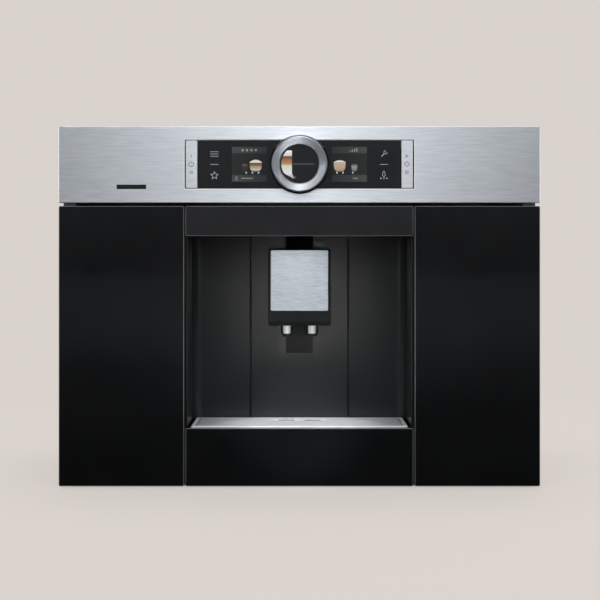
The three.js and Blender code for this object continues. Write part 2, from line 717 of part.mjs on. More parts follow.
function nicheCeiling() {
  const half = NICHE_HALF + NICHE_WALL;
  const outline = rectangle(-half, GLASS_BACK + GAP, half, COLUMN_Y + 14, 2);
  return upright(outline, NICHE_CEILING + GAP, CEILING_TOP, 2);
}

const GUIDE_HALF = 24;
const GUIDE_FACE = COLUMN_Y + 6.4;
const GUIDE_BACK = COLUMN_Y + 26;

// The outlet guide: a folded hat profile behind the column in which the carriage slides.
function outletGuide() {
  const flange = COLUMN_HALF - 2 - 2 * GAP;
  const sheet = 1.5;
  const half = [
    [flange, GUIDE_FACE],
    [flange, GUIDE_FACE + sheet],
    [GUIDE_HALF + sheet, GUIDE_FACE + sheet],
    [GUIDE_HALF + sheet, GUIDE_BACK],
  ];
  const inner = [
    [GUIDE_HALF, GUIDE_BACK - sheet],
    [GUIDE_HALF, GUIDE_FACE],
  ];
  const mirrored = (points) => points.map(([x, y]) => [-x, y]);
  const outline = [
    ...half,
    ...mirrored(half).reverse(),
    ...mirrored(inner).reverse(),
    ...inner,
  ];
  return upright(polygon(outline), NICHE_FLOOR + 4, NICHE_CEILING - 2);
}

const headerGlass = frontGlass(-NICHE_HALF_OPENING, NICHE_HALF_OPENING, HEADER_BOTTOM, PANEL_TOP);
place('niche', 'header_glass', headerGlass, blackGlass);
place('niche', 'niche_shell_left', nicheShell(-1), nichePlastic);
place('niche', 'niche_shell_right', nicheShell(1), nichePlastic);
place('niche', 'niche_centre_column', nicheCentreColumn(), nichePlastic);
place('niche', 'niche_ceiling', nicheCeiling(), nichePlastic);
place('niche', 'outlet_guide', outletGuide(), blackPlastic);

// ---------------------------------------------------------------- coffee outlet

const PLATE_HALF = 36.4;
const PLATE_LOW = 216.9;
const PLATE_HIGH = 293.6;
const HOUSING_BACK = COLUMN_Y - 2;
const ARM_LOW = 240;
const ARM_HIGH = 289;

const ARM_HALF = 14.5;
const BLIND_HALF = 20.5;
const SLIDE_HALF = 18;
const SHOE_HEIGHT = 12;

// The carriage: an arm through the slot, the blind that covers the slot below it, and the slide
// block with its two guide shoes.
function outletCarriage() {
  const blindFront = COLUMN_Y + 2.9;
  const blindBack = blindFront + 1.4;
  const blindLow = SLOT_FLOOR - 9.5;
  const armFront = HOUSING_BACK + GAP;
  const arm = block(-ARM_HALF, ARM_HALF, armFront, blindFront + 1, ARM_LOW, ARM_HIGH);
  const blind = block(-BLIND_HALF, BLIND_HALF, blindFront, blindBack, blindLow, OUTLET_TOP - 2.4);
  const slide = block(-SLIDE_HALF, SLIDE_HALF, blindBack - 1, GUIDE_BACK - 3, ARM_LOW, ARM_HIGH);
  const shoes = [-1, 1].flatMap((side) => [ARM_LOW, ARM_HIGH - SHOE_HEIGHT].map((z) => block(
    side * (SLIDE_HALF - 2),
    side * (GUIDE_HALF - 0.5),
    GUIDE_FACE + 3,
    GUIDE_BACK - 4,
    z,
    z + SHOE_HEIGHT,
  )));
  const core = block(-11, 11, blindBack + 3, GUIDE_BACK - 2, ARM_LOW + 6, ARM_HIGH - 6);
  return cut(union([arm, blind, slide, ...shoes]), [core]);
}

const NOZZLE_RADIUS = 5.6;
const SADDLE = { radius: 7.7, behind: 6 };

// The outlet housing: a moulded box whose front rolls under into the chin, with the recess of the
// cover plate in its face and, below, two saddles that hold the nozzles from behind.
function outletHousing() {
  const half = OUTLET_WIDTH / 2;
  const chin = 7;
  const profile = new THREE.Shape();
  profile.moveTo(OUTLET_Y + 2, OUTLET_TOP);
  profile.lineTo(HOUSING_BACK - 3, OUTLET_TOP);
  profile.lineTo(HOUSING_BACK, OUTLET_TOP - 3);
  profile.lineTo(HOUSING_BACK, OUTLET_BOTTOM + 16);
  profile.lineTo(HOUSING_BACK - 12, OUTLET_BOTTOM);
  profile.absarc(OUTLET_Y + chin, OUTLET_BOTTOM + chin, chin, 1.5 * Math.PI, Math.PI, true);
  profile.lineTo(OUTLET_Y, OUTLET_TOP - 2);
  const body = across(profile, -half, half, 5, 0.8);
  const saddleY = NOZZLE_Y + SADDLE.behind;
  const saddles = [-1, 1].map((side) => (
    rod((side * NOZZLE_SPACING) / 2, saddleY, SADDLE.radius, NOZZLE_TIP + 2, OUTLET_BOTTOM + 4, 10)
  ));
  const recess = inward(coverOutline(GAP), OUTLET_Y - 1, OUTLET_Y + 1.5, 3);
  const seatRadius = NOZZLE_RADIUS + 0.5;
  const seats = [-1, 1].map((side) => (
    rod((side * NOZZLE_SPACING) / 2, NOZZLE_Y, seatRadius, NOZZLE_TIP - 1, OUTLET_BOTTOM + 8, 12)
  ));
  return cut(union([body, ...saddles]), [recess, ...seats]);
}

function outletCoverPlate() {
  return inward(coverOutline(0), OUTLET_Y, OUTLET_Y + 1.2, 3, 0.3);
}

// The outline of the cover plate, grown outwards by a margin.
function coverOutline(grow) {
  const half = PLATE_HALF + grow;
  return rectangle(-half, PLATE_LOW - grow, half, PLATE_HIGH + grow, 1.5 + grow);
}

// A nozzle tapers towards its tip and has a narrow bore. Points are [radius, height].
function nozzle(side) {
  const top = OUTLET_BOTTOM + 7.6;
  return turnedUpright([
    [2, NOZZLE_TIP],
    [4.9, NOZZLE_TIP],
    [5.3, NOZZLE_TIP + 0.6],
    [NOZZLE_RADIUS, OUTLET_BOTTOM],
    [NOZZLE_RADIUS, top],
    [2, top],
    [2, NOZZLE_TIP],
  ], (side * NOZZLE_SPACING) / 2, NOZZLE_Y, 20);
}

place('outlet', 'outlet_carriage', outletCarriage(), nichePlastic);
place('outlet', 'outlet_housing', outletHousing(), blackPlastic);
place('outlet', 'outlet_cover_plate', outletCoverPlate(), brushedSteel);
place('outlet', 'nozzle_left', nozzle(-1), chrome);
place('outlet', 'nozzle_right', nozzle(1), chrome);

// ---------------------------------------------------------------- drip drawer

const BASIN_HALF = 136;
const BASIN_FRONT = GLASS_BACK + GAP;
const BASIN_BACK = 62;
const BASIN_TOP = DRAWER_TOP - 0.8;
const BASIN_LOW = 4.5;
const BASIN_WALL = 2.2;
const DRIP_PLATE = {
  half: 134.4,
  front: BASIN_FRONT + 0.3,
  back: COLUMN_Y - 0.7,
  top: DRAWER_TOP + 2.2,
  sheet: 1.5,
  edge: 0.8,
};

// The basin: a drip trough under the plate and, behind a cross wall, the place of the grounds
// container. The plan has round corners.
function dripBasin() {
  const crossWall = COLUMN_Y + 4;
  const floor = BASIN_LOW + BASIN_WALL;
  const half = BASIN_HALF - BASIN_WALL;
  const plan = rectangle(-BASIN_HALF, BASIN_FRONT, BASIN_HALF, BASIN_BACK, 6);
  const inside = (front, back) => upright(rectangle(-half, front, half, back, 4), floor, BASIN_TOP + 1, 3);
  return cut(upright(plan, BASIN_LOW, BASIN_TOP, 3), [
    inside(BASIN_FRONT + BASIN_WALL, crossWall),
    inside(crossWall + BASIN_WALL, BASIN_BACK - BASIN_WALL),
  ]);
}

// The drip plate is a sheet with its rim turned down all round, so that its front edge shows. Two
// fine slots set off its end strips, and a shallow pressed field has a drain slot under each nozzle.
function dripPlate() {
  const { half, front, back, top, sheet, edge } = DRIP_PLATE;
  const low = BASIN_TOP + GAP;
  const under = low - 1;
  const over = top + 1;
  const outer = upright(rectangle(-half, front, half, back, 2.5), low, top, 3, edge);
  const inside = rectangle(-half + sheet, front + sheet, half - sheet, back - sheet, 1);
  const hollow = upright(inside, under, top - sheet, 1);
  const endSlots = [-1, 1].map((side) => (
    upright(rectangle(side * 127.4, front + 6, side * 128.6, back - 6), under, over)
  ));
  const field = upright(rectangle(-35.5, NOZZLE_Y - 6, 35.5, NOZZLE_Y + 6, 3), top - 0.5, over, 3);
  const drains = [-1, 1].map((side) => (
    upright(rectangle(side * 6.6, NOZZLE_Y - 3, side * 26.6, NOZZLE_Y + 3, 2.9), under, over, 3)
  ));
  return cut(outer, [hollow, ...endSlots, field, ...drains]);
}

// An open container with tapered walls: two lofted boxes, the inner one taken from the outer.
function taperedBox(x, y, width, depth, z0, z1, taper) {
  const geometry = new THREE.BoxGeometry(width, depth, z1 - z0);
  const position = geometry.attributes.position;
  for (let i = 0; i < position.count; i += 1) {
    if (position.getZ(i) < 0) {
      position.setX(i, position.getX(i) - Math.sign(position.getX(i)) * taper);
      position.setY(i, position.getY(i) - Math.sign(position.getY(i)) * taper);
    }
  }
  return solid(geometry.translate(x, y, (z0 + z1) / 2));
}

function groundsContainer() {
  const wall = 1.8;
  const [width, depth, taper] = [170, 116, 6];
  const centreY = (COLUMN_Y + 4 + BASIN_BACK) / 2;
  const low = BASIN_LOW + BASIN_WALL + GAP;
  const high = 68;
  const outer = taperedBox(0, centreY, width, depth, low, high, taper);
  const inner = taperedBox(0, centreY, width - 2 * wall, depth - 2 * wall, low + wall, high + 1, taper);
  return cut(outer, [inner]);
}

// The fixed tray in which the drawer slides, with upturned sides.
function drawerGuide() {
  const half = NICHE_HALF + 1;
  const sheet = 1.4;
  const low = 1.8;
  const high = 36;
  const outline = polygon([
    [-half, low],
    [half, low],
    [half, high],
    [half - sheet, high],
    [half - sheet, low + sheet],
    [-half + sheet, low + sheet],
    [-half + sheet, high],
    [-half, high],
  ]);
  return inward(outline, CARCASS_FRONT + 4, 150);
}

const drawerGlass = frontGlass(-NICHE_HALF_OPENING, NICHE_HALF_OPENING, FOOT_GAP, DRAWER_TOP);
place('drawer', 'drawer_front_glass', drawerGlass, blackGlass);
place('drawer', 'drip_basin', dripBasin(), blackPlastic);
place('drawer', 'drip_plate', dripPlate(), brushedSteel);
place('drawer', 'grounds_container', groundsContainer(), blackPlastic);
place('carcass', 'drawer_guide', drawerGuide(), zincSteel);

// ---------------------------------------------------------------- water, milk and beans

const SUPPLY_FRONT = FRAME_BACK + 6;
const SUPPLY_INNER = 156;
const SUPPLY_OUTER = 262;
const SUPPLY_LOW = 1.8;

// A blow-moulded container: rounded in plan, open at its top, with a grip groove in its face.
function container(side, back, top, radius) {
  const wall = 2.2;
  const frontWall = wall + 8;
  const plan = rectangle(side * SUPPLY_INNER, SUPPLY_FRONT, side * SUPPLY_OUTER, back, radius);
  const inside = rectangle(
    side * (SUPPLY_INNER + wall),
    SUPPLY_FRONT + frontWall,
    side * (SUPPLY_OUTER - wall),
    back - wall,
    radius - wall,
  );
  const middle = (side * (SUPPLY_INNER + SUPPLY_OUTER)) / 2;
  const grip = rectangle(middle - 32, top - 62, middle + 32, top - 30, 8);
  return cut(upright(plan, SUPPLY_LOW, top, 4), [
    upright(inside, SUPPLY_LOW + wall, top + 1, 4),
    inward(grip, SUPPLY_FRONT - 1, SUPPLY_FRONT + 6, 3),
  ]);
}

// A lid with a raised grip along its middle.
function lid(side, back, low, radius) {
  const thickness = 3;
  const plan = rectangle(side * SUPPLY_INNER, SUPPLY_FRONT, side * SUPPLY_OUTER, back, radius);
  const plate = upright(plan, low, low + thickness, 3, 0.6);
  const middle = (side * (SUPPLY_INNER + SUPPLY_OUTER)) / 2;
  const grip = rectangle(middle - 10, SUPPLY_FRONT + 14, middle + 10, back - 14, 9);
  return plate.add(upright(grip, low + thickness - 1, low + thickness + 6, 3));
}

const TANK = { back: -38, top: 300 };
const MILK = { back: -24, top: 150 };
const HOPPER = { bend: 60, back: 128, high: 318, rise: 26, wall: 2.4, throat: 17 };
const VALVE = { x: 209, z: 18, radius: 7 };

// The tank's outlet valve stands on the back of the tank, near its floor.
function waterTank() {
  const valve = rodInward(VALVE.x, VALVE.z, VALVE.radius, TANK.back - 1, TANK.back + 8, 10);
  return container(1, TANK.back, TANK.top, 12).add(valve);
}

// The hopper's floor falls towards the grinder behind it. Its outline is drawn from the side.
function beanHopper() {
  const { bend, back, high, rise, wall, throat } = HOPPER;
  const low = SHELF_Z + SHEET + GAP;
  const outline = (inset, top) => polygon([
    [SUPPLY_FRONT + inset, low + rise + inset],
    [bend, low + inset],
    [back - inset, low + inset],
    [back - inset, top],
    [SUPPLY_FRONT + inset, top],
  ]);
  const body = across(outline(0, high), -SUPPLY_OUTER, -SUPPLY_INNER, 1, 1.5);
  const hollow = across(outline(wall, high + 1), -SUPPLY_OUTER + wall, -SUPPLY_INNER - wall);
  return cut(body, [hollow, rod(GRINDER.x, GRINDER.y, throat, low - 1, low + wall + 1, 8)]);
}

// The grinder: a flanged burr housing over a slimmer motor. Points are [radius, height].
function grinder() {
  const { radius, low, high } = GRINDER;
  return turnedUpright([
    [0, low],
    [radius - 12, low],
    [radius - 10, low + 3],
    [radius - 10, high - 62],
    [radius, high - 56],
    [radius, high - 24],
    [radius - 6, high - 18],
    [radius - 6, high - 6],
    [radius - 16, high - 6],
    [radius - 16, high],
    [0, high],
  ], GRINDER.x, GRINDER.y, 24);
}

place('supplies', 'water_tank', waterTank(), clearPlastic);
place('supplies', 'tank_lid', lid(1, TANK.back, TANK.top + GAP, 12), blackPlastic);
place('supplies', 'milk_container', container(-1, MILK.back, MILK.top, 12), clearPlastic);
place('supplies', 'milk_lid', lid(-1, MILK.back, MILK.top + GAP, 12), blackPlastic);
place('supplies', 'bean_hopper', beanHopper(), clearPlastic);
place('supplies', 'hopper_lid', lid(-1, HOPPER.back, HOPPER.high + GAP, 6), blackPlastic);
place('supplies', 'grinder', grinder(), greyPlastic);

// ---------------------------------------------------------------- brewing and power

const BREW = { half: 46, front: -30, back: 74, low: 112, high: 236 };

// The brew unit: a moulded frame with the brew cylinder on it and the chute over the grounds.
function brewUnit() {
  const { half, front, back, low, high } = BREW;
  const middle = (front + back) / 2;
  const frame = upright(rectangle(-half, front, half, back, 8), low, high, 3);
  const cylinder = rod(0, middle, 32, high - 6, high + 36, 14);
  const chute = taperedBox(0, middle - 6, 64, 60, low - 30, low + 4, 8);
  const windows = [-1, 1].map((side) => (
    block(side * (half - 12), side * (half + 4), front + 14, back - 14, low + 14, high - 14)
  ));
  return cut(union([frame, cylinder, chute]), windows);
}

const HEATER = { x: -100, z: 150, half: 26, front: 20, back: 120, halfHeight: 40, port: 128 };

// The thermoblock is a casting with cooling ribs on both of its long sides.
function thermoblock() {
  const { x, z, half, front, back, halfHeight, port } = HEATER;
  const core = block(x - half, x + half, front, back, z - halfHeight, z + halfHeight);
  const depth = 5;
  const grooves = spread(7, 11).flatMap((step) => [-1, 1].map((side) => block(
    x + side * (half - depth),
    x + side * (half + 1),
    front - 10,
    back + 10,
    z + step - 2,
    z + step + 2,
  )));
  return cut(core, grooves).add(rodInward(x, z, 6, back - 10, port, 8));
}

const PUMP = { x: VALVE.x, z: 46, radius: 19, front: 60, back: 136, inlet: 12, outlet: 10 };

// The pump: a round coil body between two yoke plates, with its inlet and outlet spouts.
function waterPump() {
  const { x, z, radius, front, back } = PUMP;
  const spout = 6;
  const yokeHalf = 23;
  const coil = rodInward(x, z, radius, front, back, 12);
  const yokes = [front + 8, back - 14].map((y) => (
    inward(rectangle(x - yokeHalf, z - yokeHalf, x + yokeHalf, z + yokeHalf, 4), y, y + 6, 2)
  ));
  const inlet = rodInward(x, z, spout, front - PUMP.inlet, front + 1, 8);
  const outlet = rodInward(x, z, spout, back - 1, back + PUMP.outlet, 8);
  return union([coil, ...yokes, inlet, outlet]);
}

// A hose of round section along a smooth path.
function hose(points, radius, steps) {
  const path = new THREE.CatmullRomCurve3(points.map(([x, y, z]) => new THREE.Vector3(x, y, z)));
  const section = new THREE.Shape();
  section.absarc(0, 0, radius, 0, 2 * Math.PI);
  return solid(new THREE.ExtrudeGeometry(section, { steps, curveSegments: 4, extrudePath: path }));
}

function suctionHose() {
  const start = TANK.back + 8 + GAP;
  const end = PUMP.front - PUMP.inlet - GAP;
  return hose([
    [VALVE.x, start, VALVE.z],
    [VALVE.x, start + 14, VALVE.z],
    [VALVE.x, (start + end) / 2, (VALVE.z + PUMP.z) / 2],
    [VALVE.x, end - 14, PUMP.z],
    [VALVE.x, end, PUMP.z],
  ], 4.5, 14);
}

// From the pump's outlet through the partition's passage to the thermoblock's port.
function pressureHose() {
  const start = PUMP.back + PUMP.outlet + GAP;
  const passageZ = (PASSAGE.low + PASSAGE.high) / 2;
  return hose([
    [PUMP.x, start, PUMP.z],
    [PUMP.x, start + 12, PUMP.z],
    [PUMP.x - 20, start + 22, PUMP.z - 2],
    [PARTITION_X + 30, PASSAGE.back - 14, passageZ + 2],
    [PARTITION_X + 0.6, (PASSAGE.front + PASSAGE.back) / 2, passageZ],
    [110, 140, 46],
    [20, 162, 90],
    [HEATER.x + 20, 160, HEATER.z - 4],
    [HEATER.x + 2, HEATER.port + 22, HEATER.z],
    [HEATER.x, HEATER.port + GAP, HEATER.z],
  ], 3.2, 34);
}

function powerBoard() {
  const back = BACK_Y - SHEET - 6;
  const root = back - 1;
  const board = block(-110, 110, back - 1.6, back, 180, 282);
  const transformer = block(-90, -50, back - 30, root, 200, 240);
  const capacitors = [0, 24, 48].map((x) => rodInward(x, 212, 8, back - 26, root, 6));
  const relays = [-10, 14, 38].map((x) => block(x - 8, x + 8, back - 16, root, 246, 270));
  return union([board, transformer, ...capacitors, ...relays]);
}

// The mains inlet: a moulded socket with a deep recess and three flat pins.
function powerInlet() {
  const front = BACK_Y - 24;
  const wall = 2.5;
  const body = inward(inletOutline(0, 2), front, BACK_Y - 0.1, 2);
  const recess = inward(inletOutline(-wall, 3), front + 8, BACK_Y + 1, 2);
  const pins = [[-7, -2], [0, 3], [7, -2]].map(([x, z]) => block(
    INLET.x + x - 1,
    INLET.x + x + 1,
    front + 7,
    BACK_Y - 4,
    INLET.z + z - 2,
    INLET.z + z + 2,
  ));
  return union([cut(body, [recess]), ...pins]);
}

place('supplies', 'brew_unit', brewUnit(), greyPlastic);
place('supplies', 'thermoblock', thermoblock(), castAluminium);
place('supplies', 'water_pump', waterPump(), greyPlastic);
place('supplies', 'suction_hose', suctionHose(), siliconeHose);
place('supplies', 'pressure_hose', pressureHose(), siliconeHose);
place('supplies', 'power_board', powerBoard(), circuitBoard);
place('carcass', 'power_inlet', powerInlet(), blackPlastic);

export default machine;
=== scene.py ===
# %% [markdown]
# # A built-in coffee machine
# The machine sits flush in a kitchen cupboard. A brushed steel fascia with a turning dial runs
# across the top. Under it two black glass doors flank a dark niche, where the coffee outlet hangs
# over the drip plate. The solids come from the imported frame, which also knows what moves.
# This lesson dresses them: it gives every solid the finish of its real material, and adds the
# thin things that a solid model leaves out, such as printed marks, screens, seals and screws.

# %% Load the frame
import math

import bmesh
import bpy
import numpy as np
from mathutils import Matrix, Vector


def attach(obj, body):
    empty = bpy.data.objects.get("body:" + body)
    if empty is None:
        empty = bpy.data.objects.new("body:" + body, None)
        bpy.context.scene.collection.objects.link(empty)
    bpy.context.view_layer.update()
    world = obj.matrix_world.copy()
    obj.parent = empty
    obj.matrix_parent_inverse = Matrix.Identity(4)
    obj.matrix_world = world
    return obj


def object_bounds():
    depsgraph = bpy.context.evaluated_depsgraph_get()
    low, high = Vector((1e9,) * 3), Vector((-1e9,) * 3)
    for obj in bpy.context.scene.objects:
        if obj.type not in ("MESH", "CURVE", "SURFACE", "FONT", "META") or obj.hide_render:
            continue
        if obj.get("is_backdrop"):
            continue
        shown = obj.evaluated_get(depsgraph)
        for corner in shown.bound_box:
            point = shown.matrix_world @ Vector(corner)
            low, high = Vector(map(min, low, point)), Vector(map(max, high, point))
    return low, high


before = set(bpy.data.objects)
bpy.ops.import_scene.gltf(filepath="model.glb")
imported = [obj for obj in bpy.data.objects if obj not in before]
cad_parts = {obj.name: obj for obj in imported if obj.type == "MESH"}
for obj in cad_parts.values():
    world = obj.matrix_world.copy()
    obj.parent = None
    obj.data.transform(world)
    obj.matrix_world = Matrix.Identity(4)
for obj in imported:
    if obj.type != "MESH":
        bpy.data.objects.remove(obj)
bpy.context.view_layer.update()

MM = 0.001

# %% [markdown]
# ## The camera
# The photograph looks straight at the front: neither side shows, and the niche's ceiling and
# floor are both just visible. The niche's edges run towards a point at the height of row 262, so
# the lens is level with that row. How fast the niche narrows towards its back gives the distance,
# 1.85 m from the front glass. A small shift moves the frame without tilting the lens.

# %% Place the camera
PHOTO_SIZE = 600                 # the frame, in pixels
HORIZON_ROW = 262.0              # where level lines meet
CENTRE_COLUMN = 299.4
SCALE_ROW = 486.3                # the front's lower edge, 2 mm above the floor
MM_PER_PIXEL = 1.2334
FRONT_Y = -182.5                 # the front plane, in mm
CAMERA_DISTANCE = 1850.0
SENSOR_MM = 36.0

camera_data = bpy.data.cameras.new("camera")
camera = bpy.data.objects.new("camera", camera_data)
bpy.context.scene.collection.objects.link(camera)
bpy.context.scene.camera = camera
camera_height = 2 + (SCALE_ROW - HORIZON_ROW) * MM_PER_PIXEL
camera.location = (0, (FRONT_Y - CAMERA_DISTANCE) * MM, camera_height * MM)
camera.rotation_euler = (math.radians(90), 0, 0)
camera_data.sensor_width = SENSOR_MM
camera_data.lens = SENSOR_MM * CAMERA_DISTANCE / MM_PER_PIXEL / PHOTO_SIZE
camera_data.shift_x = (PHOTO_SIZE / 2 - CENTRE_COLUMN) / PHOTO_SIZE
camera_data.shift_y = (HORIZON_ROW - PHOTO_SIZE / 2) / PHOTO_SIZE
print(f"camera {camera_height:.0f} mm high, lens {camera_data.lens:.1f} mm")

# %% [markdown]
# ## Nodes and colours
# Colours are written as the hex values that a picture shows, which are sRGB. The renderer counts
# light, so one function turns them to linear values. The small functions after it add nodes to a
# tree: every material below is a list of such calls, read from the pattern to the shader.

# %% Colour and node helpers
def linear(colour):
    """sRGB hex to linear RGBA: c / 12.92 below 0.04045, else ((c + 0.055) / 1.055) ** 2.4."""
    parts = [(colour >> shift & 255) / 255 for shift in (16, 8, 0)]
    return [c / 12.92 if c <= 0.04045 else ((c + 0.055) / 1.055) ** 2.4 for c in parts] + [1.0]


def add(tree, kind, settings=None, sockets=None):
    """Add one node. Settings are its own fields; a socket is linked to an output or set to a value."""
    made = tree.nodes.new(kind)
    for field, value in (settings or {}).items():
        setattr(made, field, value)
    for socket, value in (sockets or {}).items():
        if isinstance(value, bpy.types.NodeSocket):
            tree.links.new(value, made.inputs[socket])
        else:
            made.inputs[socket].default_value = value
    return made.outputs


def calc(tree, operation, a, b, clamp=False):
    """One sum, product or maximum of two values, held between 0 and 1 if clamp is true."""
    return add(tree, "ShaderNodeMath", {"operation": operation, "use_clamp": clamp}, {0: a, 1: b})[0]


def mix(tree, factor, first, second):
    """colour = first * (1 - factor) + second * factor; a colour Mix node keeps them in 6 and 7."""
    return add(tree, "ShaderNodeMix", {"data_type": "RGBA"}, {0: factor, 6: first, 7: second})[2]


def ranged(tree, value, start, end, low=0.0, high=1.0, kind="LINEAR"):
    """Map a value from start..end to low..high, and hold it there beyond both ends."""
    return add(tree, "ShaderNodeMapRange", {"interpolation_type": kind},
               {"Value": value, "From Min": start, "From Max": end, "To Min": low, "To Max": high})[0]


def eye_rays(tree):
    """The light path, and 1 for the rays that end in the eye: straight, mirrored or through glass."""
    rays = add(tree, "ShaderNodeLightPath")
    seen = calc(tree, "ADD", rays["Is Camera Ray"], rays["Is Glossy Ray"])
    return rays, calc(tree, "ADD", seen, rays["Is Transmission Ray"], True)


# %% [markdown]
# ## The studio
# Product light is soft and comes from the front and above. The room in front of the machine is
# dark, so that black glass stays black, and behind it is a pale backdrop. The sky's colour for
# mirror rays therefore follows their direction: ahead it is dark below and grey above, and it is
# pale everywhere else.

# %% The room around the machine
BACKDROP = linear(0xD9D2CD)
DARK_ROOM_LOW = linear(0x1C1D20)
DARK_ROOM_HIGH = linear(0x96999C)
SKY, SKY_STRENGTH = [1.0, 1.0, 1.0, 1.0], 0.55
ROOM_RISE = (-0.06, 0.14)        # the room turns from dark to grey between these heights of a ray
ROOM_AHEAD = (-0.75, -0.95)      # and it begins and is full at these shares of its -Y direction

bpy.context.scene.view_settings.view_transform = "Standard"
world = bpy.data.worlds.new("studio")
bpy.context.scene.world = world
world.use_nodes = True
tree = world.node_tree
tree.nodes.clear()
rays, seen = eye_rays(tree)
ways = add(tree, "ShaderNodeSeparateXYZ", {}, {0: add(tree, "ShaderNodeTexCoord")["Generated"]})
height = ranged(tree, ways["Z"], *ROOM_RISE, kind="SMOOTHSTEP")
dark_room = mix(tree, height, DARK_ROOM_LOW, DARK_ROOM_HIGH)
ahead = ranged(tree, ways["Y"], *ROOM_AHEAD, kind="SMOOTHSTEP")
mirrored = calc(tree, "MULTIPLY", ahead, rays["Is Glossy Ray"])
seen_colour = mix(tree, mirrored, BACKDROP, dark_room)
lighting = add(tree, "ShaderNodeBackground", {}, {"Color": SKY, "Strength": SKY_STRENGTH})[0]
showing = add(tree, "ShaderNodeBackground", {}, {"Color": seen_colour, "Strength": 1.0})[0]
blended = add(tree, "ShaderNodeMixShader", {}, {0: seen, 1: lighting, 2: showing})[0]
add(tree, "ShaderNodeOutputWorld", {}, {"Surface": blended})

# %% [markdown]
# Softboxes give the broad light. Two strips, one narrow and one wide, stand high behind the
# camera: brushing spreads their reflections up and down, so the fascia is brightest in its middle
# and fades towards both ends. Spotlights with narrow cones do what a photographer does with
# small torches: they pick out the dial, the outlet's cover plate, the nozzles and the drip plate,
# which the header would otherwise leave in its shadow. The widest one stands low in front, where
# the niche's back wall mirrors it as a soft glow. Two more reach across the niche, each to the
# side wall opposite. The dial's lamps stand round its axis, because every lamp draws one ray
# across a spun disc. Its face is slightly dished, so the low ones light its upper half.

# %% Hang the lamps
def lamp(name, kind, place, target, power, settings):
    """A lamp at a place, in metres, turned so that its -Z axis points at the target."""
    data = bpy.data.lights.new(name, kind)
    data.energy = power
    for field, value in settings.items():
        setattr(data, field, value)
    made = bpy.data.objects.new(name, data)
    bpy.context.scene.collection.objects.link(made)
    made.location = place
    facing = Vector(target) - Vector(place)
    made.rotation_euler = facing.to_track_quat("-Z", "Y").to_euler()
    made.visible_camera = False
    print(f"{name}: {power} W, {facing.length:.2f} m away")


def softbox(name, place, target, width, height, power):
    """A wide even source: an area lamp, whose light is power / (pi * width * height)."""
    lamp(name, "AREA", place, target, power, {"shape": "RECTANGLE", "size": width, "size_y": height})


def spotlight(name, place, target, reach, power, radius=0.02):
    """A small source that only lights a disc of the given reach, in metres, round its target:
    cone = 2 * atan(reach / distance). Its light fades towards the edge of the disc."""
    distance = (Vector(target) - Vector(place)).length
    lamp(name, "SPOT", place, target, power,
         {"spot_size": 2 * math.atan(reach / distance), "spot_blend": 0.7, "shadow_soft_size": radius})


DIAL_Z = 399.2                   # the axis of the dial, in mm above the floor
BODY, FRONT, TOP_PANEL = (0, 0, 0.25), (0, -0.2, 0.25), (0, 0.1, 0.25)     # lamps point here, in metres
FASCIA, DIAL, COVER_PLATE = (0, -0.18, 0.4), (0, -0.19, DIAL_Z * MM), (0, -0.137, 0.29)
NICHE_WALL, NOZZLES, DRIP_PLATE = (0, -0.07, 0.215), (0, -0.108, 0.187), (0, -0.13, 0.07)
LEFT_WALL, RIGHT_WALL = (-0.135, -0.12, 0.19), (0.135, -0.12, 0.19)

softbox("key_softbox", (0, -1.7, 2.5), BODY, 1.8, 0.9, 24)
softbox("tall_strip", (0, -3.0, 1.75), FASCIA, 0.34, 1.5, 8)
softbox("wide_strip", (0, -3.05, 1.75), FASCIA, 1.3, 1.5, 7)
softbox("left_softbox", (-2.0, -0.4, 0.3), FRONT, 1.6, 1.3, 11)
softbox("right_softbox", (2.0, -0.4, 0.3), FRONT, 1.6, 1.3, 11)
spotlight("niche_light", (0, -3.0, 0.16), NICHE_WALL, 0.14, 12.5, 0.06)
DIAL_LAMPS_Y, DIAL_LAMPS_Z = -2.7, 0.4
DIAL_LAMPS = ((48, 0.7, 9), (126, 0.7, 4), (152, 0.7, 10),       # degrees round the axis, metres, watts
              (-86, 0.3, 3.5), (-66, 0.3, 6.5), (-46, 0.3, 7), (-28, 0.3, 5))
for turn, away, power in DIAL_LAMPS:
    aside, above = away * math.cos(math.radians(turn)), away * math.sin(math.radians(turn))
    spotlight(f"dial_light_{turn}", (aside, DIAL_LAMPS_Y, DIAL_LAMPS_Z + above), DIAL, 0.042, power)
spotlight("plate_light_left", (-0.9, -1.15, 1.2), DRIP_PLATE, 0.098, 118)
spotlight("plate_light_right", (0.9, -1.15, 1.2), DRIP_PLATE, 0.098, 118)
spotlight("cover_light", (-0.3, -2.6, 0.85), COVER_PLATE, 0.045, 22)
spotlight("nozzle_light_left", (-1.2, -1.9, 0.28), NOZZLES, 0.032, 50)
spotlight("nozzle_light_right", (1.2, -1.9, 0.28), NOZZLES, 0.032, 50)
spotlight("nozzle_glint", (-0.12, -2.8, 0.12), (0, -0.108, 0.19), 0.03, 9)
spotlight("niche_side_light_left", (0.7, -1.7, 0.35), LEFT_WALL, 0.13, 45)
spotlight("niche_side_light_right", (-0.7, -1.7, 0.35), RIGHT_WALL, 0.13, 45)
softbox("top_softbox", (0, 0.4, 2.2), TOP_PANEL, 1.2, 0.8, 9)
softbox("back_softbox", (0.6, 2.2, 1.6), TOP_PANEL, 2.4, 1.6, 20)

# %% [markdown]
# ## Meshes from arrays
# Each new piece is a grid of points worked out as one array, rows by columns. A section carried
# along a path gives seals, trims and the strokes of a printed mark. A closed outline gives a thin
# plate, and a profile turned about an axis gives the nozzles' lips and the screw heads. One
# function turns such grids into a closed mesh, joins its seams, and lets the faces look outwards.

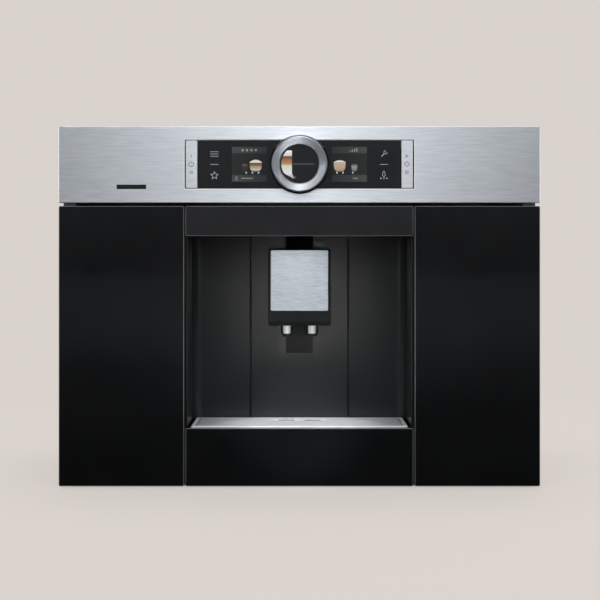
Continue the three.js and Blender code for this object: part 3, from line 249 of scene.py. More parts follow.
# %% Mesh helpers
def carried(path, section, up, closed=True):
    """A section carried along a flat path.

    point = path + out * side * mitre + rise * up, where side is up x tangent and mitre is
    1 / cos(half the turn), so that straight runs keep their width round a corner."""
    path, up = np.asarray(path, float), np.asarray(up, float)
    ahead = np.roll(path, -1, 0) - path
    if not closed:
        ahead[-1] = ahead[-2]
    ahead /= np.linalg.norm(ahead, axis=1, keepdims=True)
    behind = np.roll(ahead, 1, 0)
    if not closed:
        behind[0] = ahead[0]
    tangent = ahead + behind
    tangent /= np.linalg.norm(tangent, axis=1, keepdims=True)
    mitre = 1 / np.clip((tangent * ahead).sum(1), 0.4, 1)
    side = np.cross(up, tangent) * mitre[:, None]
    section = np.asarray(section, float)
    return path[:, None] + section[None, :, :1] * side[:, None] + section[None, :, 1:] * up


def spun(centre, axis, radius, along, steps):
    """Rings of points round an axis through the centre:
    point = centre + radius * (cos t * first + sin t * second) + along * axis."""
    axis = np.asarray(axis, float)
    first = np.roll(axis, 1)
    second = np.cross(axis, first)
    turn = np.linspace(0, 2 * math.pi, steps, endpoint=False)[:, None, None]
    return np.asarray(centre, float) + radius * (np.cos(turn) * first + np.sin(turn) * second) + along * axis


def turned(profile, centre, axis, steps):
    """A profile of (radius, distance along the axis) turned about that axis through the centre."""
    radius, along = np.asarray(profile, float).T[..., None]
    return spun(centre, axis, radius, along, steps)


def plate(outline, y, thickness):
    """A thin plate facing the viewer: rows are its middle, its outline in front and behind, and
    its middle again. The outline holds (x, z) points."""
    outline = np.asarray(outline, float)
    middle = np.broadcast_to(outline.mean(0), outline.shape)
    rows = [np.insert(flat, 1, depth, axis=1) for flat, depth in
            ((middle, y), (outline, y), (outline, y + thickness), (middle, y + thickness))]
    return np.stack(rows)


def lying(outline, z, thickness):
    """The same thin plate laid flat: its outline holds (x, y) points and its underside is at z."""
    return plate(outline, z, thickness)[..., [0, 2, 1]]


PRINT, PICTURE = 0.06, 0.04      # the thickness of a mark on the glass and of one on a screen, in mm


def stroke(points, width, y, closed=False, thickness=PRINT):
    """A line of a printed mark: a flat rectangle carried along (x, z) points."""
    half = width / 2
    section = [(-half, 0), (half, 0), (half, thickness), (-half, thickness)]
    path = np.insert(np.asarray(points, float), 1, y, axis=1)
    return carried(path, section, (0, 1, 0), closed)


def arc(x, z, radius, start=0.0, end=360.0, steps=40):
    """Points of a circle or an arc, in degrees from the right, anticlockwise."""
    turn = np.radians(np.linspace(start, end, steps, endpoint=end - start < 360))
    return np.stack([x + radius * np.cos(turn), z + radius * np.sin(turn)], axis=1)


def rounded(x0, x1, z0, z1, radius, steps=8):
    """The outline of a rectangle with round corners: four quarter circles joined by straights."""
    corners = ((x1 - radius, z0 + radius, -90), (x1 - radius, z1 - radius, 0),
               (x0 + radius, z1 - radius, 90), (x0 + radius, z0 + radius, 180))
    return np.concatenate([arc(x, z, radius, t, t + 90, steps) for x, z, t in corners])


OPEN, RING = (False, True), (True, True)     # how a grid wraps: a plate or open line, a closed ring
SHARP = math.radians(35)         # edges that turn by more than this stay crisp


def dash(x0, z0, x1, z1, width, y, thickness=PRINT):
    """One straight stroke between two points, with the way its grid wraps."""
    return (stroke([(x0, z0), (x1, z1)], width, y, thickness=thickness), *OPEN)


def piece(name, grids, material, body):
    """One closed mesh piece from grids, each (points in mm, wraps along rows, wraps along columns)."""
    points, faces, places, start = [], [], [], 0
    for grid, wrap_rows, wrap_columns in grids:
        rows, columns = grid.shape[:2]
        r = np.arange(rows if wrap_rows else rows - 1)[:, None]
        c = np.arange(columns if wrap_columns else columns - 1)[None, :]
        corners = [(r + a, c + b) for a, b in ((0, 0), (0, 1), (1, 1), (1, 0))]
        quads = np.stack([(i % rows) * columns + j % columns for i, j in corners], -1).reshape(-1, 4)
        across = np.stack([np.broadcast_to(j / columns, (len(r), c.shape[1])) for i, j in corners], -1)
        along = np.stack([np.broadcast_to(i / rows, (len(r), c.shape[1])) for i, j in corners], -1)
        faces += (quads + start).tolist()
        places.append(np.stack([across, along], -1).reshape(-1, 2))
        if wrap_columns and not wrap_rows:
            ends = np.arange(columns)
            faces += [(ends + start).tolist(), (ends + start + (rows - 1) * columns).tolist()]
            places.append(np.full((2 * columns, 2), 0.5))
        points.append(grid.reshape(-1, 3))
        start += rows * columns
    mesh = bpy.data.meshes.new(name)
    mesh.from_pydata((np.concatenate(points) * MM).tolist(), [], faces)
    mesh.uv_layers.new(name="UVMap").data.foreach_set("uv", np.concatenate(places).ravel())
    shell = bmesh.new()
    shell.from_mesh(mesh)
    bmesh.ops.remove_doubles(shell, verts=shell.verts, dist=1e-7)
    bmesh.ops.recalc_face_normals(shell, faces=shell.faces)
    shell.to_mesh(mesh)
    shell.free()
    mesh.shade_smooth()
    mesh.set_sharp_from_angle(angle=SHARP)
    made = bpy.data.objects.new(name, mesh)
    bpy.context.scene.collection.objects.link(made)
    mesh.materials.append(material)
    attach(made, body)
    print(f"{name}: {len(mesh.polygons)} faces on {body}")


# %% [markdown]
# ## Finishes
# Every finish starts from its real material and how its surface was made. Its colour and its
# roughness wander between two values with a noise of a real size in millimetres, because no
# moulded, cast or brushed surface is even. The noise is read in Object coordinates, so it stays
# on the piece when a door opens.

# %% The base of every finish
NOISE_RANGE = (0.3, 0.7)         # most of a noise lies in this range, so it is stretched to 0..1


def blank(name, shader):
    """A new material, its node tree and its shader's sockets, with plain values set on some."""
    material = bpy.data.materials.new(name)
    material.use_nodes = True
    sockets = material.node_tree.nodes["Principled BSDF"].inputs
    for socket, value in shader.items():
        sockets[socket].default_value = value
    return material, material.node_tree, sockets


def finish(name, colours, roughness, size, stretch=(1, 1, 1), relief=0.0, detail=2.0, shader=None):
    """A material whose colour and roughness follow one noise.

    noise cell = size * stretch in mm; colour = mix(dark, light, noise);
    roughness = low + (high - low) * noise; relief is the height of the bumps in mm."""
    material, tree, surface = blank(name, shader or {})
    position = add(tree, "ShaderNodeTexCoord")["Object"]
    cells = [1 / (MM * size * s) for s in stretch]
    pattern = add(tree, "ShaderNodeMapping", {}, {"Vector": position, "Scale": cells})[0]
    noise = add(tree, "ShaderNodeTexNoise", {},
                {"Vector": pattern, "Scale": 1.0, "Detail": detail})[0]
    noise = ranged(tree, noise, *NOISE_RANGE)
    dark, light = (linear(c) for c in colours)
    tree.links.new(mix(tree, noise, dark, light), surface["Base Color"])
    tree.links.new(ranged(tree, noise, 0, 1, *roughness), surface["Roughness"])
    if relief:
        bump = add(tree, "ShaderNodeBump", {},
                   {"Height": noise, "Distance": relief * MM, "Strength": 1.0})[0]
        tree.links.new(bump, surface["Normal"])
    return material


def recolour(material, factor, colour):
    """Lay one more colour over a finish where the factor is 1."""
    tree = material.node_tree
    into = tree.nodes["Principled BSDF"].inputs["Base Color"]
    under = into.links[0].from_socket
    tree.links.new(mix(tree, factor, under, linear(colour)), into)


def turn_scratches(material, axis):
    """Run a finish's tangent in circles round an axis, as the scratches of a lathe do."""
    tree = material.node_tree
    around = add(tree, "ShaderNodeTangent", {"direction_type": "RADIAL", "axis": axis})[0]
    tree.links.new(around, tree.nodes["Principled BSDF"].inputs["Tangent"])


# %% [markdown]
# ### Brushed stainless steel
# The fascia, the two bar keys and the outlet's cover plate are stainless steel, brushed along
# their length with a grit belt. The scratches are about 0.1 mm apart, too fine for this picture,
# so they are drawn 0.7 mm apart and 27 mm long. Light spreads across the scratches and hardly
# along them, which is the shader's anisotropy, turned a quarter because its own direction runs
# along the piece. The small cover plate of the outlet is finished by hand: its strokes are only
# 9 mm long and differ more in colour.

# %% Steel finishes
METAL = {"Metallic": 1.0}
QUARTER = {"Anisotropic Rotation": 0.25}
SCRATCH = 0.7                    # the pitch of the drawn scratches, in mm
brushed_steel = finish("brushed_stainless_steel", (0xC0C6CD, 0xD6DBE1), (0.35, 0.41), SCRATCH,
                       stretch=(38, 1, 1), relief=0.003, detail=4.0,
                       shader={**METAL, **QUARTER, "Anisotropic": 0.85})
cover_steel = finish("hand_brushed_stainless_steel", (0x8E959C, 0xB2B8BE), (0.33, 0.4), SCRATCH,
                     stretch=(13, 1, 1), relief=0.004, detail=4.0,
                     shader={**METAL, **QUARTER, "Anisotropic": 0.8})

# %% [markdown]
# The dial is turned from solid steel and faced on the lathe, so its scratches are circles. The
# noise is read along the radius only. Its tangent runs round the axis, and the highlight spreads
# into the wedges of light that every spun disc shows.

# %% Spun steel
spun_steel, tree, surface = blank("spun_stainless_steel", {**METAL, **QUARTER, "Anisotropic": 0.86})
DIAL_CENTRE = (0.0, 0.0, DIAL_Z * MM)
position = add(tree, "ShaderNodeTexCoord")["Object"]
centred = add(tree, "ShaderNodeVectorMath", {"operation": "SUBTRACT"}, {0: position, 1: DIAL_CENTRE})[0]
flat = add(tree, "ShaderNodeVectorMath", {"operation": "MULTIPLY"}, {0: centred, 1: (1, 0, 1)})[0]
radius = add(tree, "ShaderNodeVectorMath", {"operation": "LENGTH"}, {0: flat})["Value"]
rings = add(tree, "ShaderNodeTexNoise", {"noise_dimensions": "1D"},
            {"W": radius, "Scale": 1 / (SCRATCH * MM), "Detail": 3.0})[0]
tree.links.new(mix(tree, rings, linear(0x888E94), linear(0xAEB3B8)), surface["Base Color"])
tree.links.new(ranged(tree, rings, 0, 1, 0.24, 0.34), surface["Roughness"])
turn_scratches(spun_steel, "Y")

# %% [markdown]
# The nozzles are brass tubes, turned on a lathe and plated with satin chrome. Their fine circles
# spread the light along the tube, so each shows a bright streak from top to bottom. The drip
# plate is stainless steel that was blasted with fine beads, which leaves millions of tiny dents:
# it returns light nearly as evenly as paint, so only part of it counts as metal. The carcass is
# galvanised sheet, whose zinc froze into flat crystals some 6 mm across, each with its own grey.
# The heater is an aluminium casting with a sandy skin.

# %% Chrome, zinc and cast aluminium
drip_plate_steel = finish("bead_blasted_stainless_steel", (0xC0C4C8, 0xD1D4D7), (0.4, 0.5), 0.8,
                          stretch=(40, 1, 1), relief=0.03, shader={"Metallic": 0.45})
# Painted sheen: the near-white, half-metal colour stands in for part of the chrome's bright reflections.
chrome = finish("satin_chrome_with_painted_sheen", (0xEDEFF0, 0xF6F7F8), (0.3, 0.38), 6,
                shader={**QUARTER, "Metallic": 0.5, "Anisotropic": 0.8})
turn_scratches(chrome, "Z")
cast_aluminium = finish("sand_cast_aluminium", (0x9A9D9F, 0xB9BBBC), (0.45, 0.62), 0.8,
                        relief=0.05, shader=METAL)
galvanised = finish("galvanised_sheet_steel", (0x9BA0A3, 0xB2B7BA), (0.32, 0.46), 2.2, shader=METAL)
CRYSTAL, CRYSTAL_DEPTH = 6.0, 0.45       # how wide they are, in mm, and how far the darkest one goes
tree = galvanised.node_tree
position = add(tree, "ShaderNodeTexCoord")["Object"]
crystal = add(tree, "ShaderNodeTexVoronoi", {}, {"Vector": position, "Scale": 1 / (CRYSTAL * MM)})["Color"]
crystal = add(tree, "ShaderNodeSeparateColor", {}, {0: crystal})[0]
recolour(galvanised, calc(tree, "MULTIPLY", crystal, CRYSTAL_DEPTH), 0x83898D)

# %% [markdown]
# ### Glass
# Doors, header and drawer are 4 mm float glass with black enamel fired onto the back. What the
# eye gets is deep black under one sharp reflection. Real panes carry a faint haze of finger
# grease in soft patches, which only changes the roughness a little. The displays sit behind a
# lighter smoked glass.

# %% Glass finishes
GLASS = {"IOR": 1.52, "Specular IOR Level": 0.5}
front_glass = finish("black_enamelled_glass", (0x0B0C0D, 0x0F1011), (0.03, 0.07), 60, shader=GLASS)
header_glass = finish("grey_enamelled_glass", (0x1E1F21, 0x232426), (0.04, 0.08), 60, shader=GLASS)
display_glass = finish("smoked_display_glass", (0x161819, 0x1C1E1F), (0.08, 0.12), 45, shader=GLASS)

# %% [markdown]
# ### Plastics
# The niche is moulded ABS with a spark-eroded grain of about half a millimetre, which takes the
# shine off. The outlet's housing is blacker and duller. Seals, tray and liners are black
# polypropylene. Drives and modules are grey glass-filled nylon. Tank, hopper and milk container
# are clear SAN with a faint blue tint.

# %% Plastic finishes
niche_plastic = finish("spark_grained_abs", (0x191B1C, 0x202223), (0.18, 0.23), 0.55, relief=0.006,
                       shader={"IOR": 1.54, "Specular IOR Level": 0.14})
matt_black = finish("dead_matt_black_coating", (0x060708, 0x0B0C0D), (0.7, 0.85), 0.5, relief=0.01,
                    shader={"IOR": 1.5, "Specular IOR Level": 0.2})
black_plastic = finish("black_polypropylene", (0x101112, 0x17191A), (0.38, 0.5), 0.6, relief=0.015,
                       shader={"IOR": 1.49, "Specular IOR Level": 0.32})
outlet_plastic = finish("satin_black_abs", (0x0D1214, 0x13181A), (0.5, 0.6), 0.6, relief=0.01,
                        shader={"IOR": 1.54, "Specular IOR Level": 0.12})
grey_plastic = finish("glass_filled_nylon", (0x4A4E51, 0x5C6063), (0.5, 0.65), 0.9, relief=0.02,
                      shader={"IOR": 1.53})
clear_plastic = finish("clear_san", (0xD5E0E6, 0xE2EBF0), (0.05, 0.12), 25,
                       shader={"IOR": 1.57, "Transmission Weight": 0.93})
silicone = finish("milky_silicone", (0xC9C3B7, 0xD8D3C8), (0.4, 0.52), 3,
                  shader={"IOR": 1.41, "Subsurface Weight": 0.2})

# %% [markdown]
# The boards are glass-fibre laminate under green solder mask. The tracks under the mask are a
# shade lighter, which the mortar of a pattern of bricks 5 mm long suggests.

# %% Circuit board
circuit_board = finish("green_solder_mask", (0x123A22, 0x19492C), (0.3, 0.42), 1.2, shader={"IOR": 1.55})
tree = circuit_board.node_tree
position = add(tree, "ShaderNodeTexCoord")["Object"]
flat = add(tree, "ShaderNodeMapping", {"vector_type": "TEXTURE"},
           {"Vector": position, "Rotation": (math.radians(90), 0, 0)})[0]
tracks = add(tree, "ShaderNodeTexBrick", {},
             {"Vector": flat, "Scale": 1 / (10 * MM), "Mortar Size": 0.05})["Fac"]
recolour(circuit_board, tracks, 0x2E7A4B)

# %% [markdown]
# ## Dressing the solids
# Each solid carries the name of its slot in the record. One table sends every slot to its finish.

# %% Give every solid its finish
FINISHES = {
    "brushed_steel": brushed_steel, "spun_steel": spun_steel, "chrome_plate": chrome,
    "front_glass": front_glass, "display_glass": display_glass, "niche_plastic": niche_plastic,
    "black_plastic": black_plastic, "grey_plastic": grey_plastic, "clear_plastic": clear_plastic,
    "zinc_steel": galvanised, "cast_aluminium": cast_aluminium, "circuit_board": circuit_board,
    "silicone_hose": silicone,
}
OWN_FINISHES = {
    "header_glass": header_glass, "drip_plate": drip_plate_steel,
    "outlet_guide": matt_black, "outlet_carriage": black_plastic,
    "outlet_housing": outlet_plastic, "outlet_cover_plate": cover_steel,
}
for name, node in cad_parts.items():
    slot = node.material_slots[0].material.name.split(".")[0]
    node.material_slots[0].material = OWN_FINISHES.get(name, FINISHES[slot])
print(f"{len(FINISHES)} finishes on {len(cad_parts)} solids")

# %% [markdown]
# ## Printed marks
# The touch fields are printed on the back of the display glass and read as pale grey. Every field
# has a plain sign: three lines for a menu, a star for favourites, a spanner for settings and a
# drop over three dots for cleaning. The print is as thin as paint, so the signs are plates and
# strokes of 0.06 mm on the glass: true outlines, which stay sharp from close by.

# %% Print the touch fields
mark_print = finish("pale_screen_print", (0x8B8E90, 0xA2A5A7), (0.4, 0.5), 0.5, shader={"IOR": 1.5})
GLASS_FACE = -182.38
LEFT_X, RIGHT_X = -104.8, 104.2
DASH_Z, SIGN_LOW_Z, SIGN_HIGH_Z = 399.0, 385.3, 411.9
HALF_DASH, THIN = 5.0, 0.75      # half a dash's length and its width
MENU_GAP = 2.8


def star(x, z, outer, inner):
    """Ten points, by turns on the outer and the inner circle."""
    turn = np.radians(90 + 36 * np.arange(10))
    size = np.where(np.arange(10) % 2, inner, outer)
    return np.stack([x + size * np.cos(turn), z + size * np.sin(turn)], axis=1)


def drop(x, z, size, steps=36):
    """A drop: x = 0.72 s sin t sin(t/2)^1.4, z = s cos t, whose tip is at t = 0."""
    turn = np.linspace(0, 2 * math.pi, steps, endpoint=False)
    wide = 0.72 * size * np.sin(turn) * np.sin(turn / 2) ** 1.4
    return np.stack([x + wide, z + size * np.cos(turn)], axis=1)


left_signs = [dash(LEFT_X - HALF_DASH, z, LEFT_X + HALF_DASH, z, THIN, GLASS_FACE)
              for z in (SIGN_HIGH_Z + MENU_GAP, SIGN_HIGH_Z, SIGN_HIGH_Z - MENU_GAP, DASH_Z)]
left_signs.append((stroke(star(LEFT_X, SIGN_LOW_Z, 4.7, 2.3), 0.85, GLASS_FACE, True), *RING))
piece("touch_signs_left", left_signs, mark_print, "carcass")

right_signs = [
    dash(RIGHT_X - HALF_DASH, DASH_Z, RIGHT_X + HALF_DASH, DASH_Z, THIN, GLASS_FACE),
    dash(RIGHT_X - 3.2, SIGN_HIGH_Z - 3.2, RIGHT_X + 0.6, SIGN_HIGH_Z + 0.6, 1.2, GLASS_FACE),
    (stroke(arc(RIGHT_X + 1.9, SIGN_HIGH_Z + 1.9, 1.9, 80, 370, 24), 0.9, GLASS_FACE), *OPEN),
    (stroke(drop(RIGHT_X, SIGN_LOW_Z + 2.4, 3.4), 0.8, GLASS_FACE, True), *RING),
]
right_signs += [(plate(arc(RIGHT_X + d, SIGN_LOW_Z - 3.4, 1.0, steps=16), GLASS_FACE, PRINT), *OPEN)
                for d in (-3.6, 0, 3.6)]
piece("touch_signs_right", right_signs, mark_print, "carcass")

# %% [markdown]
# The bar keys carry engraved signs filled with grey: line, standby and ring on the left one, a
# triangle, a start lozenge and a square on the right one. They move with their key.

# %% Engrave the bar keys
key_print = finish("grey_engraving", (0x565B60, 0x646A70), (0.4, 0.5), 0.4, shader={"IOR": 1.5})
KEY_FACE = -182.56
LEFT_KEY_X, RIGHT_KEY_X = -133.4, 132.6
HIGH_Z, MIDDLE_Z, LOW_Z = 409.4, 399.4, 389.3
GROOVE = 0.8                     # the width of an engraved line
on_off_signs = [
    dash(LEFT_KEY_X, HIGH_Z - 1.6, LEFT_KEY_X, HIGH_Z + 1.6, GROOVE, KEY_FACE),
    (stroke(arc(LEFT_KEY_X, MIDDLE_Z, 3.1, 125, 415), GROOVE, KEY_FACE), *OPEN),
    dash(LEFT_KEY_X, MIDDLE_Z + 0.4, LEFT_KEY_X, MIDDLE_Z + 3.6, GROOVE, KEY_FACE),
    (stroke(arc(LEFT_KEY_X, LOW_Z, 1.5), GROOVE, KEY_FACE, True), *RING),
]
piece("on_off_signs", on_off_signs, key_print, "on_off_key")
triangle = [(RIGHT_KEY_X - 1.2, HIGH_Z - 1.6), (RIGHT_KEY_X + 1.6, HIGH_Z), (RIGHT_KEY_X - 1.2, HIGH_Z + 1.6)]
lozenge = arc(RIGHT_KEY_X, MIDDLE_Z, 3.0, steps=4)
square = rounded(RIGHT_KEY_X - 1.5, RIGHT_KEY_X + 1.5, LOW_Z - 1.5, LOW_Z + 1.5, 0.3, 3)
start_signs = [(stroke(shape, GROOVE, KEY_FACE, True), *RING) for shape in (triangle, lozenge, square)]
piece("start_stop_signs", start_signs, key_print, "start_stop_key")

# %% [markdown]
# ## Lit screens
# Three screens shine through the glass: one on each side and one inside the dial. They glow
# faintly, with a lighter bar at the top and the bottom for the settings. Painted shade makes the
# side screens' glow darker towards the dial and lighter towards their outer ends. Their glow is
# the shader's emission, and their dark ground keeps the glass's shine.
# A cup picture shows its layers: foam, coffee and milk change with height, which a colour ramp
# reads from the object's own Z.

# %% Screen finishes
SCREEN_IN, SCREEN_OUT = 40.0, 83.2           # the ends of each side screen, in mm from the middle


def glowing(name, stops, low, high, axis="Z"):
    """A lit finish whose colour follows a ramp from low to high mm along one axis of the object.
    Along X the ramp starts from the middle and runs both ways."""
    material, tree, surface = blank(name, {"Roughness": 0.12, "Base Color": linear(0x0A0B0C),
                                           "Emission Strength": 1.0})
    position = add(tree, "ShaderNodeTexCoord")["Object"]
    along = add(tree, "ShaderNodeSeparateXYZ", {}, {0: position})[axis]
    if axis == "X":
        along = add(tree, "ShaderNodeMath", {"operation": "ABSOLUTE"}, {0: along})[0]
    ramp = tree.nodes.new("ShaderNodeValToRGB")
    tree.links.new(ranged(tree, along, low * MM, high * MM), ramp.inputs[0])
    while len(ramp.color_ramp.elements) < len(stops):
        ramp.color_ramp.elements.new(0.5)
    for element, (at, colour) in zip(ramp.color_ramp.elements, stops):
        element.position = at
        element.color = linear(colour)
    tree.links.new(ramp.outputs[0], surface["Emission Color"])
    return material


# Painted shade: these glows ramp from dark beside the dial to lighter at the outer end of each side screen.
screen_ground = glowing("lcd_ground", [(0.0, 0x161718), (1.0, 0x242626)], SCREEN_IN, SCREEN_OUT, "X")
screen_bar = glowing("lcd_setting_bar", [(0.0, 0x262828), (1.0, 0x434444)], SCREEN_IN, SCREEN_OUT, "X")
screen_sign = glowing("lcd_sign", [(0.0, 0x74736F), (1.0, 0x989792)], SCREEN_IN, SCREEN_OUT, "X")

# %% The two side screens
SCREEN_LOW, SCREEN_HIGH = 377.6, 420.7
BAR_LOW, BAR_HIGH = 386.2, 412.7
PICTURE_FACE = GLASS_FACE - 0.05
SCREEN_CORNER = 0.3
for side, left, right in (("left", -SCREEN_OUT, -SCREEN_IN), ("right", SCREEN_IN, SCREEN_OUT)):
    ground = rounded(left, right, BAR_LOW, BAR_HIGH, SCREEN_CORNER, 3)
    piece(f"screen_ground_{side}", [(plate(ground, GLASS_FACE, PRINT), *OPEN)],
          screen_ground, "carcass")
    bars = [(plate(rounded(left, right, low, high, SCREEN_CORNER, 3), GLASS_FACE, PRINT), *OPEN)
            for low, high in ((SCREEN_LOW, BAR_LOW - 0.1), (BAR_HIGH + 0.1, SCREEN_HIGH))]
    piece(f"screen_bars_{side}", bars, screen_bar, "carcass")

# %% [markdown]
# The setting bars carry small signs: four beans for strength and a drop with a level line on the
# left, rising steps for temperature and a short dash on the right.

# %% Signs on the screens
BAR_TOP_Z, BAR_FOOT_Z = 416.6, 381.9
beans = [(plate(arc(x, BAR_TOP_Z, 1.5, steps=18), PICTURE_FACE, PICTURE), *OPEN)
         for x in (-70.0, -64.6, -59.2, -53.8)]
level = [(stroke(drop(-77.6, BAR_FOOT_Z, 2.2), 0.5, PICTURE_FACE, True, PICTURE), *RING),
         dash(-71.5, BAR_FOOT_Z, -57.5, BAR_FOOT_Z, 1.1, PICTURE_FACE, PICTURE)]
piece("screen_signs_left", beans + level, screen_sign, "carcass")
STEP_LOW = BAR_TOP_Z - 2
steps = [dash(x, STEP_LOW, x, STEP_LOW + tall, 1.3, PICTURE_FACE, PICTURE)
         for x, tall in ((63.0, 1.6), (65.6, 2.6), (68.2, 3.6), (70.8, 4.6))]
steps.append(dash(66.0, BAR_FOOT_Z, 72.0, BAR_FOOT_Z, 1.1, PICTURE_FACE, PICTURE))
piece("screen_signs_right", steps, screen_sign, "carcass")


# %% [markdown]
# A cup is drawn as its outline: a low dome of foam, a bowl that narrows slowly and then rounds
# off to its foot, and two small lights where the foot catches a lamp.

# %% Cups on the screens
def bowl(x0, x1, low, high, dome, steps=20):
    """A bowl's outline. Below the rim, half width = w * sqrt(1 - 0.35 s^2 - 0.62 s^8), where s runs
    from 0 at the rim to 1 at the foot; above it a low dome, dome * (1 - t^2)."""
    middle, half = (x0 + x1) / 2, (x1 - x0) / 2
    down = np.linspace(0, 1, steps)
    width = half * np.sqrt(np.clip(1 - 0.35 * down ** 2 - 0.62 * down ** 8, 0, 1))
    right_side = np.stack([middle + width, high - (high - low) * down], axis=1)
    left_side = np.stack([middle - width, high - (high - low) * down], axis=1)[::-1]
    over = np.linspace(-1, 1, steps)[1:-1]
    top = np.stack([middle + half * over, high + dome * (1 - over ** 2)], axis=1)
    return np.concatenate([right_side, left_side, top])


coffee_layers = [(0.0, 0x8F8A84), (0.16, 0xB9B4AC), (0.42, 0x9A8A66), (0.55, 0x7A5A34),
                 (0.72, 0x6A4626), (0.76, 0xD8D8D8), (1.0, 0xC9C9CB)]
cream_layers = [(0.0, 0x9C8672), (0.35, 0xB89A80), (0.8, 0xB2A797), (0.88, 0xE2DFD8), (1.0, 0xBBB4A8)]
dim_layers = [(0.0, 0x2A2524), (0.7, 0x3A302E), (1.0, 0x6E5C58)]
pale_layers = [(0.0, 0x606060), (0.6, 0x8C8C8C), (1.0, 0x4A4A4A)]
CUP_LOW, CUP_HIGH = 390.4, 401.8
SMALL_HIGH = 398.4
for name, layers, x0, x1, high, dome in (
        ("screen_cup_left", coffee_layers, -61.4, -46.4, CUP_HIGH, 3.0),
        ("screen_cup_left_small", dim_layers, -71.2, -64.0, SMALL_HIGH, 1.2),
        ("screen_cup_right", cream_layers, 42.4, 57.0, CUP_HIGH, 2.4),
        ("screen_cup_right_small", pale_layers, 64.2, 71.4, SMALL_HIGH, 1.2)):
    layered = glowing(name + "_light", layers, CUP_LOW, high + dome)
    cup = plate(bowl(x0, x1, CUP_LOW, high, dome), PICTURE_FACE, PICTURE)
    piece(name, [(cup, *OPEN)], layered, "carcass")
foot_light = glowing("lcd_foot_light", [(0.0, 0x8A8A8A), (1.0, 0xE8E8E8)], 386.5, 390.5)
FOOT_TOP, FOOT_END = 389.9, 387.6
feet = [dash(x, FOOT_TOP, x + lean, FOOT_END, 1.3, PICTURE_FACE, PICTURE)
        for x, lean in ((-49.6, -1.6), (-58.4, 1.0), (45.6, 1.6), (54.4, -1.2), (65.6, 0.6), (-65.8, 0.4))]
piece("screen_cup_feet", feet, foot_light, "carcass")

# %% [markdown]
# The round screen inside the dial shows one tall glass, cut off by the rim of the screen, with a
# thin rule and a small red light. The glass is the part of a disc of radius 22.2 mm left of a
# straight edge, and it narrows below a height of 389 mm.

# %% The screen inside the dial
ROUND_FACE = -191.14
GLASS_RADIUS, GLASS_EDGE_X = 22.2, -9.2
GLASS_LOW, GLASS_HIGH = 381.4, 415.6
NARROW_FROM, NARROW_BY = 389.0, 7.5
RULE_Z = 398.9
tall = np.linspace(GLASS_HIGH, GLASS_LOW, 30)
edge_left = -np.sqrt(GLASS_RADIUS ** 2 - (tall - DIAL_Z) ** 2)
edge_left += NARROW_BY * np.clip((NARROW_FROM - tall) / 8, 0, 1) ** 1.6
rim = np.stack([edge_left, tall], axis=1)
back = np.stack([np.full_like(tall, GLASS_EDGE_X), tall[::-1]], axis=1)
tall_layers = [(0.0, 0x9E9A98), (0.2, 0xDCD9DA), (0.45, 0xCFC9BC), (0.52, 0xA98458), (0.66, 0x9A6A45),
               (0.78, 0x5C3D28), (0.81, 0xC9C6C0), (1.0, 0xF2F2F2)]
tall_light = glowing("lcd_tall_glass", tall_layers, GLASS_LOW, GLASS_HIGH)
piece("screen_tall_glass", [(plate(np.concatenate([rim, back]), ROUND_FACE, PICTURE), *OPEN)],
      tall_light, "carcass")
rule = dash(-8.0, RULE_Z, 18.3, RULE_Z, 0.6, ROUND_FACE, PICTURE)
piece("screen_rule", [rule], glowing("lcd_rule", [(0.0, 0x6E6E70), (1.0, 0x6E6E70)], 0, 1), "carcass")
red_light = glowing("lcd_red_light", [(0.0, 0x4A3230), (1.0, 0x6A4A48)], 381, 384.5)
piece("screen_red_light", [(plate(arc(-5.6, 382.6, 1.6, steps=20), ROUND_FACE, PICTURE), *OPEN)],
      red_light, "carcass")

# %% [markdown]
# ## Ground edges
# A pane of float glass leaves the cutter with razor edges, so they are ground to a bevel with a
# diamond wheel. Ground glass is matt and grey, and draws a fine line round every black panel. The
# bevels are part of the solids; each gets a skin of ground glass, carried round the pane. The
# straight edges of the display window are ground bevels of bare steel; their skin is near-white
# and hardly metallic, a painted highlight along the bevel. A skin stands 0.03 to 0.04 mm proud of
# its bevel and reaches 0.04 mm below it, so that it has no gap.

# %% Ground edges of the panes and the window
ground_glass = finish("ground_glass_edge", (0x505456, 0x606466), (0.42, 0.5), 1.5, relief=0.01,
                      shader={"IOR": 1.52})
# Painted highlight: a near-white, hardly metallic colour on the window's steel bevels.
ground_steel_highlight = finish("ground_steel_edge", (0xF2F4F6, 0xFCFDFE), (0.35, 0.45), 3, shader={"Metallic": 0.1})
PANE_BEVEL, PANE_CORNER, PANE_TOP = 0.8, 2.0, 347.7
PANES = (("header", -140.6, 140.6, 310.7, PANE_TOP, "carcass"),
         ("left_door", -297.0, -142.3, 2.0, PANE_TOP, "left_door"),
         ("right_door", 142.3, 297.0, 2.0, PANE_TOP, "right_door"),
         ("drawer", -140.6, 140.6, 2.0, 73.6, "drawer"))
skin = [(-PANE_BEVEL + 0.02, -0.02), (-0.04, PANE_BEVEL - 0.08),
        (-0.09, PANE_BEVEL - 0.03), (-PANE_BEVEL - 0.03, 0.03)]
for name, x0, x1, z0, z1, body in PANES:
    edge = np.insert(rounded(x0, x1, z0, z1, PANE_CORNER), 1, FRONT_Y, axis=1)
    piece(f"ground_edge_{name}", [(carried(edge, skin, (0, 1, 0)), *RING)], ground_glass, body)

